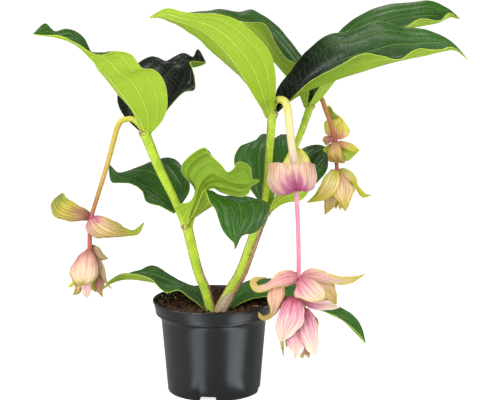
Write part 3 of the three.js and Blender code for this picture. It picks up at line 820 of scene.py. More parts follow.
@dataclass(frozen=True)
class BarkFinish:
    """The stems' lime skin, with cork and pale flakes where the piece is marked."""

    skin: str = "#c6e336"
    shadow: str = "#9dc02c"
    cork: str = "#c8a27c"
    bark: str = "#8e5c44"
    flake: str = "#ecdcc0"
    speck: str = "#6e5634"

    def make(self, effects: Effects) -> bpy.types.Material:
        """Build the material; it reads the numbers "cork" and "flake"."""
        paint = Paint("stem bark", 0.4)
        soft = paint.mask(effects.mottle, Size=11.0, Softness=0.2)
        fine = paint.mask(effects.mottle, Size=1.9, Softness=0.12)
        grains = paint.mask(effects.streaks, Count=22.0, Wander=9.0, Softness=0.12)
        colour = paint.mix(paint.times(soft, 0.8), shade(self.skin), shade(self.shadow))
        colour = paint.mix(paint.times(grains, 0.3), colour, shade(self.shadow))
        ragged = paint.times(paint.minus(fine, 0.5), 0.6)
        corky = paint.fade(paint.plus(paint.number("cork"), ragged), 0.35, 0.65)
        brown = paint.mix(grains, shade(self.cork), shade(self.bark))
        colour = paint.mix(corky, colour, brown)
        flaky = paint.fade(paint.plus(paint.number("flake"), ragged), 0.45, 0.6)
        patchy = paint.mix(paint.times(fine, 0.7), shade(self.flake), shade(self.cork))
        patchy = paint.mix(paint.times(grains, 0.32), patchy, shade(self.bark))
        colour = paint.mix(paint.times(flaky, 0.9), colour, patchy)
        spots = paint.mask(effects.mottle, Size=1.3, Softness=0.03)
        spots = paint.times(paint.minus(1.0, paint.fade(spots, 0.0, 0.3)), 0.26)
        colour = paint.mix(spots, colour, shade(self.speck))
        rough = paint.plus(0.42, paint.times(corky, 0.35))
        height = paint.plus(paint.times(grains, 0.5), paint.times(fine, corky))
        return paint.finish(colour, rough, paint.bump(height, 0.35))


@dataclass(frozen=True)
class SkinFinish:
    """A flower stalk's smooth skin, whose colour changes along it."""

    name: str
    stops: tuple[tuple[float, str], ...]
    streak: str
    rough: float = 0.4

    def make(self, effects: Effects) -> bpy.types.Material:
        """Build the material; it reads the piece's UV, from foot to tip."""
        paint = Paint(self.name, 0.45)
        _, _, along = paint.lay()
        blotches = paint.mask(effects.mottle, Size=7.0, Softness=0.2)
        drift = paint.times(paint.minus(blotches, 0.5), 0.05)
        colour = paint.ramp(paint.plus(along, drift, clamp=True), self.stops)
        grains = paint.mask(effects.streaks, Count=9.0, Wander=6.0, Softness=0.15)
        colour = paint.mix(paint.times(grains, 0.22), colour, shade(self.streak))
        rough = paint.plus(self.rough, paint.times(blotches, 0.1))
        return paint.finish(colour, rough, paint.bump(grains, 0.1))


@dataclass(frozen=True)
class EarthFinish:
    """Peat: a dark ground with lighter fibres and crumbs."""

    name: str
    dark: str
    middle: str
    light: str
    relief: float

    def make(self, effects: Effects) -> bpy.types.Material:
        """Build the material; it reads the object's own coordinates."""
        paint = Paint(self.name, 0.2)
        coarse = paint.mask(effects.mottle, Size=6.0, Softness=0.14)
        fine = paint.mask(effects.mottle, Size=1.5, Softness=0.1)
        colour = paint.mix(coarse, shade(self.dark), shade(self.middle))
        colour = paint.mix(paint.times(fine, 0.6), colour, shade(self.light))
        rough = paint.plus(0.82, paint.times(fine, 0.12))
        return paint.finish(colour, rough, paint.bump(fine, self.relief))


@dataclass(frozen=True)
class PlasticFinish:
    """The pot's charcoal plastic: satin, with a faint moulded grain and some dust."""

    ground: str = "#090b0f"
    dust: str = "#1e2226"
    rough: float = 0.2

    def make(self, effects: Effects) -> bpy.types.Material:
        """Build the material; it reads the object's own coordinates."""
        paint = Paint("charcoal plastic", 0.5)
        cloud = paint.mask(effects.mottle, Size=34.0, Softness=0.25)
        grain = paint.mask(effects.mottle, Size=0.9, Softness=0.2)
        share = paint.plus(paint.times(cloud, 0.25), paint.times(grain, 0.15))
        colour = paint.mix(share, shade(self.ground), shade(self.dust))
        rough = paint.plus(self.rough, paint.times(cloud, 0.07))
        return paint.finish(colour, rough, paint.bump(grain, 0.04))


@dataclass(frozen=True)
class BudFinish:
    """Small closed buds and the eyes, crimson with paler patches."""

    ground: str = "#a83c4c"
    pale: str = "#c87468"

    def make(self, effects: Effects) -> bpy.types.Material:
        """Build the material, or give the one built before."""
        known = bpy.data.materials.get("bud")
        if known is not None:
            return known
        paint = Paint("bud", 0.45)
        spots = paint.mask(effects.mottle, Size=3.0, Softness=0.2)
        return paint.finish(paint.mix(spots, shade(self.ground), shade(self.pale)), 0.4)


# ---------------------------------------------------------------- pieces


def cross_lines(
    left: np.ndarray, middle: np.ndarray, right: np.ndarray, along: np.ndarray, arch: float
) -> np.ndarray:
    """Frame a sheet with five long lines, from its left margin to its right one.

    Args:
        left: The left margin's places.
        middle: The rib's places.
        right: The right margin's places.
        along: The rib's unit directions.
        arch: How far each half bulges, as a share of its width.

    Returns:
        Five rows of places.
    """
    lines = []
    from_left = [(left, 1, share) for share in (1.0, 0.5, 0.0)]
    to_right = [(right, -1, share) for share in (0.5, 1.0)]
    for margin, turn, share in (*from_left, *to_right):
        reach = margin - middle
        lift = arch * 4 * share * (1 - share) * np.linalg.norm(reach, axis=1)
        lines.append(middle + share * reach + unit(turn * np.cross(along, reach)) * lift[:, None])
    return np.array(lines)


@dataclass
class Leaf:
    """A blade between two margins, with its long veins sunk on the upper side.

    The node of the same name is replaced. The upper side is the one that is seen with the foot near
    and the left margin on the left.
    """

    node: str
    left: list[Point]
    rib: list[Point]
    right: list[Point]
    # Tone at the foot and at the tip: partly the leaf's own colour, partly painted shade.
    tone: tuple[float, float] = (0.5, 0.5)
    arch: float = 0.1
    quilt: float = 0.9
    groove: float = 0.5
    groove_width: float = 0.9
    channel: float = 0.8
    channel_width: float = 1.6
    ripple: float = 0.45
    calm_span: float = 30.0
    period: float = 47.0
    thickness: float = 0.9
    row_length: float = 2.6
    cells: int = 8

    def margin(self, points: list[Point]) -> Rail:
        """Carry a margin on to the tip."""
        tip = np.asarray(self.rib[-1], float)
        reach = unit(np.asarray(points[-1], float) - np.asarray(self.rib[-2], float))
        return Rail([*points, tuple(tip + TIP_HALF_WIDTH * reach)])

    def columns(self) -> tuple[np.ndarray, np.ndarray]:
        """Space the columns so that they crowd at the veins.

        Returns:
            The share of the half width of each column, from -1 to 1, and how far each lies between
            its two veins, from 0 to 1.
        """
        way = np.linspace(0, 1, self.cells + 1)
        eased = way - 0.8 * np.sin(2 * math.pi * way) / (2 * math.pi)
        stops = (*VEINS, 1.0)
        shares, between = [0.0], [0.0]
        for low, high in zip(stops, stops[1:]):
            shares += list(low + (high - low) * eased[1:])
            between += list(eased[1:])
        half, inner = np.array(shares), np.array(between)
        return np.concatenate([-half[:0:-1], half]), np.concatenate([inner[:0:-1], inner])

    def build(self) -> bpy.types.Object:
        """Shape the blade as a sheet, with its relief and its numbers."""
        rib, left, right = Rail(self.rib), self.margin(self.left), self.margin(self.right)
        rows = max(24, round(rib.length() / self.row_length))
        t = np.linspace(0, 1, rows + 1)
        s, between = self.columns()
        middle, along = rib.at(t), rib.heading(t)
        margins = left.at(t), right.at(t)
        lines = cross_lines(margins[0], middle, margins[1], along, self.arch)
        places = np.swapaxes(Rail(lines).at((s + 1) / 2), 0, 1)
        spans = [np.linalg.norm(margin - middle, axis=1)[:, None] for margin in margins]
        span = np.where(s[None, :] < 0, spans[0], spans[1])
        normal = unit(np.cross(np.gradient(places, axis=1), np.gradient(places, axis=0)))
        relief = self.relief(s, between, t, span, rib.length())
        places = places + normal * relief[..., None]
        lay = np.stack(np.broadcast_arrays((s[None, :] + 1) / 2, t[:, None]), axis=2)
        piece = grid_piece(self.node.replace("leaf", "blade"), places, lay)
        mark(piece, "span", span)
        foot, tip = self.tone
        mark(piece, "tone", foot + (tip - foot) * np.repeat(t, len(s)))
        return piece

    def relief(
        self, s: np.ndarray, between: np.ndarray, t: np.ndarray, span: np.ndarray, length: float
    ) -> np.ndarray:
        """Work out how far the blade's surface is raised.

        Args:
            s: Shares of the half width, from -1 to 1.
            between: How far each column lies between its veins.
            t: Shares of the way along.
            span: The half width at each place, in millimetres.
            length: The rib's length, in millimetres.

        Returns:
            Millimetres, rows by columns.
        """
        side = np.abs(s)[None, :]
        fade = np.sin(math.pi * np.clip(t, 0, 1)) ** 0.5
        puff = np.sin(math.pi * between)[None, :] ** 2 * fade[:, None]
        way = t[:, None] * length
        seed = sum(self.rib[-1]) * 0.37
        bumps = 1 + 0.45 * np.sin(way / 5.3 + seed + 7 * side) * np.sin(way / 13.1 + 2 * seed)
        relief = self.quilt * puff * bumps
        relief -= self.channel * bell(side * span, self.channel_width)
        for vein in VEINS[1:]:
            relief -= self.groove * bell((side - vein) * span, self.groove_width) * fade[:, None]
        wave = np.sin(2 * math.pi * way / self.period + seed + np.where(s[None, :] < 0, 1.9, 0.0))
        wave += 0.4 * np.sin(2 * math.pi * way / (0.43 * self.period) + 3 * seed)
        relief += self.ripple * wave * side**3 * np.minimum(1, 4 * (1 - t))[:, None]
        return relief * np.minimum(1, span / self.calm_span)

    def dress(self, piece: bpy.types.Object, upper: bpy.types.Material, lower: bpy.types.Material) -> None:
        """Thicken the blade, paint both sides and seat it.

        Args:
            piece: The sheet from build.
            upper: The upper side's finish.
            lower: The finish of the lower side and of the rim.
        """
        piece.data.materials.append(upper)
        piece.data.materials.append(lower)
        thicken(piece, self.thickness, second_side=1)
        smooth(piece)
        seat(piece, "leaf", self.node)


@dataclass
class Petal:
    """A bract between two margins, bulging to the viewer's side or, below 0, away from it."""

    tint: Tint
    left: list[Point]
    rib: list[Point]
    right: list[Point]
    bulge: float = 0.22
    blunt: bool = False
    thickness: float = 0.9
    ridges: int = 9
    ridge: float = 0.2
    wave: float = 0.4
    row_length: float = 1.3

    def build(self, name: str, finish: bpy.types.Material) -> bpy.types.Object:
        """Shape the bract with its fine ridges and uneven edge.

        Args:
            name: The piece's name.
            finish: Its material.

        Returns:
            The bract, as a closed sheet.
        """
        rib = Rail(self.rib)
        tip = [] if self.blunt else [self.rib[-1]]
        t = np.linspace(0, 1, max(12, round(rib.length() / self.row_length)) + 1)
        middle, left, right = rib.at(t), Rail([*self.left, *tip]).at(t), Rail([*self.right, *tip]).at(t)
        span = np.linalg.norm(right - left, axis=1)
        s = np.linspace(0, 1, int(np.clip(span.max() * 1.4, 12, 46)) + 1)
        lines = cross_lines(left, middle, right, rib.heading(t), self.bulge)
        places = np.swapaxes(Rail(lines).at(s), 0, 1)
        normal = unit(np.cross(np.gradient(places, axis=1), np.gradient(places, axis=0)))
        seed = sum(self.rib[-1]) * 0.61
        body = np.minimum(1, span / 14)[:, None]
        side = 2 * s[None, :] - 1
        relief = self.ridge * np.cos(math.pi * self.ridges * side) * body * np.sin(math.pi * t)[:, None]
        way = t[:, None] * rib.length()
        edge = np.sin(way / 3.1 + seed + 2 * side) + 0.5 * np.sin(way / 1.7 + 2 * seed)
        relief = relief + self.wave * np.abs(side) ** 3 * body * edge
        places = places + normal * relief[..., None]
        lay = np.stack(np.broadcast_arrays(s[None, :], t[:, None]), axis=2)
        piece = grid_piece(name, places, lay)
        mark(piece, "span", np.repeat(span / 2, len(s)))
        piece.data.materials.append(finish)
        thicken(piece, self.thickness, second_side=0)
        smooth(piece)
        return piece


@dataclass
class Bloom:
    """A tier of bracts round the eye where they leave the stalk, with closed buds inside."""

    node: str
    eye: Point
    eye_radius: float
    petals: list[Petal]
    buds: int = 0
    slot: str = "lower_bract"

    def bud(self, k: int, finish: bpy.types.Material) -> bpy.types.Object:
        """Hang one closed bud from the eye."""
        turn = 2 * math.pi * k / self.buds + 0.7
        across, deep = math.cos(turn), math.sin(turn)
        x, y, z = self.eye
        path = [
            (x, y, z), (x + 3 * across, y + 3 * deep, z - 14), (x + 5 * across, y + 5 * deep, z - 24),
            (x + 5.5 * across, y + 5.5 * deep, z - 33 - 3 * across),
        ]
        return Length(path, (0.8, 0.9, 2.6, 0.9), sides=12).build(f"bud_{k}", finish)

    def build(self, effects: Effects) -> bpy.types.Object:
        """Make the bracts, the buds and the eye, and join them."""
        name = self.node.replace("bloom", "bracts")
        finish = BudFinish().make(effects)
        pieces = [
            petal.build(f"{name}_{k}", petal.tint.value.make(effects)) for k, petal in enumerate(self.petals)
        ]
        pieces += [self.bud(k, finish) for k in range(self.buds)]
        deselect()
        bpy.ops.mesh.primitive_uv_sphere_add(segments=20, ring_count=12, radius=0.6 * self.eye_radius * MM)
        knob = bpy.context.object
        knob.data.transform(Matrix.Translation(Vector(self.eye) * MM))
        mark(knob, "span", 0.0)
        knob.data.materials.append(finish)
        smooth(knob)
        return join(name, [*pieces, knob])

    def dress(self, piece: bpy.types.Object) -> None:
        """Seat the bloom."""
        seat(piece, self.slot, self.node)


def transport(heading: np.ndarray, start: Point) -> np.ndarray:
    """Carry a side direction along a line without twisting it.

    Args:
        heading: The line's unit directions.
        start: A direction that the first side leans to.

    Returns:
        A unit side for each place, square to the line.
    """
    sides = []
    side = np.asarray(start, float)
    for ahead in heading:
        side = unit(side - ahead * (side @ ahead))
        sides.append(side)
    return np.array(sides)


@dataclass
class Patch:
    """A stretch of bark on one side of a stem."""

    facing: Point
    low: float
    high: float
    cork: float = 1.0
    flake: float = 0.0
    reach: float = 0.78
    fade: float = 14.0
    sharpness: float = 3.0

    def mask(self, places: np.ndarray, outward: np.ndarray) -> np.ndarray:
        """Say how much of the patch lies at each place, from 0 to 1."""
        toward = outward @ unit(np.asarray(self.facing, float))
        z = places[..., 2]
        ends = np.clip((z - self.low) / self.fade, 0, 1) * np.clip((self.high - z) / self.fade, 0, 1)
        return np.clip(0.5 + (toward - self.reach) * self.sharpness, 0, 1) * ends


@dataclass
class Length:
    """A length of a stem or stalk: a round or ridged tube along a path."""

    path: list[Point]
    radii: tuple[float, ...]
    ridge: float = 0.0
    sides: int = 20
    step: float = 1.6
    rough: float = 0.0
    patches: list[Patch] = field(default_factory=list)

    def build(self, name: str, finish: bpy.types.Material) -> bpy.types.Object:
        """Wrap a grid round the path, dome its ends and close it.

        Args:
            name: The piece's name.
            finish: Its material.

        Returns:
            The tube, with its UV from foot to tip and its "cork" and "flake" numbers.
        """
        rail, girth = Rail(self.path), Rail([(radius,) for radius in self.radii])
        t = np.linspace(0, 1, max(8, round(rail.length() / self.step)) + 1)
        middle, heading, radius = rail.at(t), rail.heading(t), girth.at(t)[:, 0]
        dome = np.radians(DOME_TURNS)
        first = middle[0] - heading[0] * (DOME_HEIGHT * radius[0] * np.sin(dome))[:, None]
        last = middle[-1] + heading[-1] * (DOME_HEIGHT * radius[-1] * np.sin(dome[::-1]))[:, None]
        middle = np.concatenate([first, middle, last])
        heading = np.concatenate([[heading[0]] * len(dome), heading, [heading[-1]] * len(dome)])
        radius = np.concatenate([radius[0] * np.cos(dome), radius, radius[-1] * np.cos(dome[::-1])])
        way = np.concatenate([[0.0] * len(dome), t, [1.0] * len(dome)])
        side = transport(heading, (1, 0.01, 0.02))
        other = np.cross(heading, side)
        turn = np.linspace(0, 2 * math.pi, self.sides + 1)
        outward = side[:, None] * np.cos(turn)[None, :, None] + other[:, None] * np.sin(turn)[None, :, None]
        outward[:, -1] = outward[:, 0]
        corner = np.mod(turn, math.pi / 2) - math.pi / 4
        swell = 1 - 0.25 * self.ridge + self.ridge * bell(corner, RIDGE_WIDTH)
        places = middle[:, None] + outward * (radius[:, None] * swell[None, :])[..., None]
        cork, flake = np.zeros(places.shape[:2]), np.zeros(places.shape[:2])
        for patch in self.patches:
            mask = patch.mask(places, outward)
            cork = np.maximum(cork, patch.cork * mask)
            flake = np.maximum(flake, patch.flake * mask)
        if self.rough > 0:
            grain = np.array([noise.noise(Vector(p) * GRAIN_SCALE) for p in places.reshape(-1, 3)])
            grain = grain.reshape(cork.shape) * (SMOOTH_GRAIN + cork) * (radius > 1)[:, None]
            grain[:, -1] = grain[:, 0]
            places = places + outward * (self.rough * grain)[..., None]
        lay = np.stack(np.broadcast_arrays((turn / (2 * math.pi))[None, :], way[:, None]), axis=2)
        piece = grid_piece(name, places, lay)
        mark(piece, "cork", cork)
        mark(piece, "flake", flake)
        close_up(piece)
        piece.data.materials.append(finish)
        smooth(piece)
        return piece


@dataclass
class Stem:
    """A stem or a flower stalk: its lengths and the knuckles where they meet."""

    node: str
    name: str
    slot: str
    lengths: list[Length]
    knuckles: list[tuple[Point, float]] = field(default_factory=list)
    knuckle_cork: float = 0.6

    def build(self, finishes: list[bpy.types.Material]) -> bpy.types.Object:
        """Make the lengths and knuckles and join them.

        Args:
            finishes: A material for each length; the knuckles take the first.

        Returns:
            The whole stem.
        """
        pieces = [
            length.build(f"{self.name}_{k}", finish)
            for k, (length, finish) in enumerate(zip(self.lengths, finishes))
        ]
        for centre, radius in self.knuckles:
            deselect()
            bpy.ops.mesh.primitive_uv_sphere_add(segments=28, ring_count=18, radius=1)
            ball = bpy.context.object
            for vertex in ball.data.vertices:
                swell = 1 + 0.10 * noise.noise(vertex.co * 2.1 + Vector(centre) * 0.1)
                vertex.co = (Vector(centre) + vertex.co * radius * swell) * MM
            mark(ball, "cork", self.knuckle_cork)
            mark(ball, "flake", 0.0)
            ball.data.materials.append(finishes[0])
            smooth(ball)
            pieces.append(ball)
        return join(self.name, pieces)

    def dress(self, piece: bpy.types.Object) -> None:
        """Seat the stem."""
        seat(piece, self.slot, self.node)


def revolve(name: str, stations: list[tuple[float, float]], sides: int) -> bpy.types.Object:
    """Turn a profile round the Z axis, outside first.

    Args:
        name: The piece's name.
        stations: Radius and height, from the middle of the underside, up the outside and back.
        sides: How many sides it has.

    Returns:
        The closed piece.
    """
    profile = np.array(stations)
    turn = np.linspace(0, 2 * math.pi, sides + 1)
    turn[-1] = 0
    radius, height = profile[:, 0][:, None], profile[:, 1][:, None]
    places = np.stack(np.broadcast_arrays(radius * np.cos(turn), radius * np.sin(turn), height), axis=2)
    steps = np.concatenate([[0], np.cumsum(np.linalg.norm(np.diff(profile, axis=0), axis=1))])
    around = np.linspace(0, 1, sides + 1)
    lay = np.stack(np.broadcast_arrays(around[None, :], (steps / steps[-1])[:, None]), axis=2)
    piece = grid_piece(name, places, lay)
    close_up(piece)
    return piece


@dataclass
class Pot:
    """A thin moulded nursery pot with a collar, a ledge line and drain notches."""

    height: float = 130.0
    rim: float = 85.0
    collar: float = 81.0
    collar_height: float = 27.0
    shoulder: float = 73.0
    foot: float = 64.5
    wall: float = 1.7
    floor: float = 2.4
    sides: int = 144
    notch_count: int = 4
    notch_turn: float = -6.5
    notch_top: float = 21.0
    notch_foot: float = 26.0
    notch_height: float = 7.0
    notch_inner: float = 26.0

    def profile(self) -> list[tuple[float, float]]:
        """List radius and height round the wall's section."""
        ledge = self.height - self.collar_height
        wall = self.wall
        return [
            (0, 0), (self.foot - 2.2, 0), (self.foot - 0.8, 0.5), (self.foot, 2.0),
            (self.shoulder, ledge - 1), (self.shoulder + 1.0, ledge + 1.4),
            (self.collar - 4.5, ledge + 5.2), (self.collar - 1.7, ledge + 7.0),
            (self.collar - 0.5, ledge + 8.2), (self.collar, ledge + 9.6),
            (self.collar + 0.25, ledge + 11.2), (self.collar - 0.05, ledge + 11.8),
            (self.collar + 0.25, ledge + 12.4),
            (self.rim - 1.4, self.height - 3.6), (self.rim - 0.3, self.height - 3.0),
            (self.rim, self.height - 1.5), (self.rim - 0.25, self.height - 0.4),
            (self.rim - 0.9, self.height), (self.rim - wall, self.height - 0.1),
            (self.rim - wall - 0.6, self.height - 0.7), (self.collar - 2 * wall + 0.4, ledge + 12),
            (self.collar - 2 * wall - 1, ledge + 9.5), (self.shoulder - wall, ledge + 2),
            (self.foot - wall, self.floor + 1.2), (self.foot - wall - 1.2, self.floor), (0, self.floor),
        ]

    def build(self) -> bpy.types.Object:
        """Turn the wall and cut the notches out of its foot."""
        pot = revolve("nursery_pot", self.profile(), self.sides)
        depth = self.shoulder - self.notch_inner
        cutters = []
        for k in range(self.notch_count):
            deselect()
            bpy.ops.mesh.primitive_cube_add(size=2)
            cutter = bpy.context.object
            for vertex in cutter.data.vertices:
                x, y, z = vertex.co
                half = self.notch_top / 2 if z > 0 else self.notch_foot / 2
                level = self.notch_height if z > 0 else -self.floor
                vertex.co = Vector((x * half, -self.notch_inner - depth * (1 - y) / 2, level)) * MM
            spin = math.radians(self.notch_turn + 360 * k / self.notch_count)
            cutter.data.transform(Matrix.Rotation(spin, 4, "Z"))
            cutters.append(cutter)
        tool = join("notches", cutters)
        select(pot)
        cut = pot.modifiers.new("notches", "BOOLEAN")
        cut.object = tool
        cut.operation = "DIFFERENCE"
        cut.solver = "EXACT"
        bpy.ops.object.modifier_apply(modifier=cut.name)
        bpy.data.objects.remove(tool)
        return pot

    def dress(self, piece: bpy.types.Object, finish: bpy.types.Material) -> None:
        """Paint and seat the pot."""
        piece.data.materials.clear()
        piece.data.materials.append(finish)
        smooth(piece, angle=28)
        seat(piece, "pot", "pot")


@dataclass
class Soil:
    """Peat that fills the pot, with loose crumbs, fibres and a few perlite grains."""

    top: float = 114.0
    edge: float = 80.0
    collar: float = 76.6
    shoulder: float = 69.4
    foot: float = 61.0
    bottom: float = 9.5
    rise: float = 15.0
    rings: int = 60
    sides: int = 160
    crumb_count: int = 760
    fibre_count: int = 60
    perlite_beds: tuple[Bed, ...] = ((-66, 38, 13, 16), (57, 8, 5, 7), (0, 0, 74, 12))
    crumb_sizes: tuple[float, float] = (0.7, 3.1)
    crumb_rough: float = 0.6
    perlite_sizes: tuple[float, float] = (0.6, 1.6)
    perlite_rough: float = 0.35
    seed: int = 11
    lumps: tuple[tuple[float, float], ...] = ((1.7, 0.055), (1.1, 0.16), (0.6, 0.42))

    def level(self, x: float, y: float) -> float:
        """Give the height of the soil's top at a place, in millimetres."""
        away = math.hypot(x, y) / self.edge
        inward = 1 - min(1.0, away)
        spot = Vector((x, y, 0.0))
        lumps = sum(height * noise.noise(spot * scale) for height, scale in self.lumps)
        heap = self.rise * away**3 * (0.55 + 0.45 * (0.8 * y - 0.6 * x) / self.edge)
        return self.top + 1.5 * min(1.0, 3 * inward) + heap + lumps * min(1.0, 6 * inward)

    def build(self) -> bpy.types.Object:
        """Turn the body of peat and roughen its top."""
        stations = [(0, self.bottom), (self.foot, self.bottom), (self.shoulder, 105.3)]
        stations += [(self.collar, 112.3), (self.edge - 0.8, self.top - 0.4)]
        stations += [(self.edge * k / self.rings, self.top) for k in range(self.rings, -1, -1)]
        piece = revolve("earth", stations, self.sides)
        for vertex in piece.data.vertices:
            x, y, z = vertex.co / MM
            if z > self.top - 0.2:
                vertex.co.z = self.level(x, y) * MM
        return piece

    def seeds(self, rough: float) -> list[bpy.types.Mesh]:
        """Model a few uneven lumps, to be copied."""
        meshes = []
        for k in range(4):
            deselect()
            bpy.ops.mesh.primitive_ico_sphere_add(subdivisions=2, radius=1)
            lump = bpy.context.object
            for vertex in lump.data.vertices:
                shift = noise.noise(vertex.co * 1.3 + Vector((9.0 * k, 4.0, 2.0)))
                vertex.co *= 1 + rough * shift
            meshes.append(lump.data)
            bpy.data.objects.remove(lump)
        return meshes

    def scatter(
        self, name: str, beds: list[Bed], sizes: tuple[float, float], rough: float, draw: random.Random
    ) -> bpy.types.Object:
        """Lay copies of the lumps on the soil.

        Args:
            name: The piece's name.
            beds: For each bed its middle, its reach and how many lumps lie there.
            sizes: Least and greatest radius, in millimetres.
            rough: How uneven they are.
            draw: The seeded source of chance.

        Returns:
            All lumps as one piece.
        """
        meshes = self.seeds(rough)
        pieces = []
        for k, (left, back, room) in enumerate(bed[:3] for bed in beds for _ in range(bed[3])):
            reach = room * math.sqrt(draw.random())
            turn = draw.uniform(0, 2 * math.pi)
            x, y = left + reach * math.cos(turn), back + reach * math.sin(turn)
            size = draw.uniform(*sizes)
            mesh = meshes[k % len(meshes)].copy()
            spin = Matrix.Rotation(draw.uniform(0, 6.28), 4, Vector((draw.random(), draw.random(), 1)))
            stretch = Matrix.Diagonal((draw.uniform(0.8, 1.3), 1.0, draw.uniform(0.5, 0.9), 1.0))
            place = Matrix.Translation(Vector((x, y, self.level(x, y) + 0.25 * size)) * MM)
            mesh.transform(place @ stretch @ spin @ Matrix.Scale(size * MM, 4))
            lump = bpy.data.objects.new(f"{name}_{k}", mesh)
            bpy.context.scene.collection.objects.link(lump)
            pieces.append(lump)
        for mesh in meshes:
            bpy.data.meshes.remove(mesh)
        return join(name, pieces)

    def fibres(self, finish: bpy.types.Material, draw: random.Random) -> bpy.types.Object:
        """Lay short fibres and twigs on the soil."""
        pieces = []
        for k in range(self.fibre_count):
            reach = (self.edge - 12) * math.sqrt(draw.random())
            turn, lean = draw.uniform(0, 2 * math.pi), draw.uniform(0, 2 * math.pi)
            size = draw.uniform(3, 9)
            path = []
            for step in (-1.0, 0.0, 1.0):
                x = reach * math.cos(turn) + step * size * math.cos(lean + 0.3 * step)
                y = reach * math.sin(turn) + step * size * math.sin(lean + 0.3 * step)
                path.append((x, y, self.level(x, y) + 0.9))
            girth = draw.uniform(0.3, 0.55)
            fibre = Length(path, (girth, girth, 0.6 * girth), sides=6, step=2.4)
            pieces.append(fibre.build(f"fibre_{k}", finish))
        return join("fibres", pieces)

    def dress(self, earth: bpy.types.Object, effects: Effects) -> None:
        """Paint and seat the soil, and lay the loose bits on it.

        Args:
            earth: The body from build.
            effects: The shared node groups.
        """
        draw = random.Random(self.seed)
        peat = EarthFinish("peat", "#080504", "#21160f", "#54402f", 1.0).make(effects)
        crumb = EarthFinish("peat crumbs", "#140d09", "#4a3122", "#8e6c50", 0.5).make(effects)
        pale = EarthFinish("perlite", "#c9c6bd", "#e2dfd6", "#f3f1ec", 0.3).make(effects)
        fibre = EarthFinish("fibres", "#55301c", "#80502e", "#a8784c", 0.2).make(effects)
        earth.data.materials.append(peat)
        smooth(earth, angle=40)
        seat(earth, "soil", "soil")
        bed = (0, 0, self.edge - 4, self.crumb_count)
        crumbs = self.scatter("crumbs", [bed], self.crumb_sizes, self.crumb_rough, draw)
        crumbs.data.materials.append(crumb)
        smooth(crumbs)
        seat(crumbs, "soil")
        perlite = self.scatter("perlite", self.perlite_beds, self.perlite_sizes, self.perlite_rough, draw)
        perlite.data.materials.append(pale)
        smooth(perlite)
        seat(perlite, "soil")
        seat(self.fibres(fibre, draw), "soil")


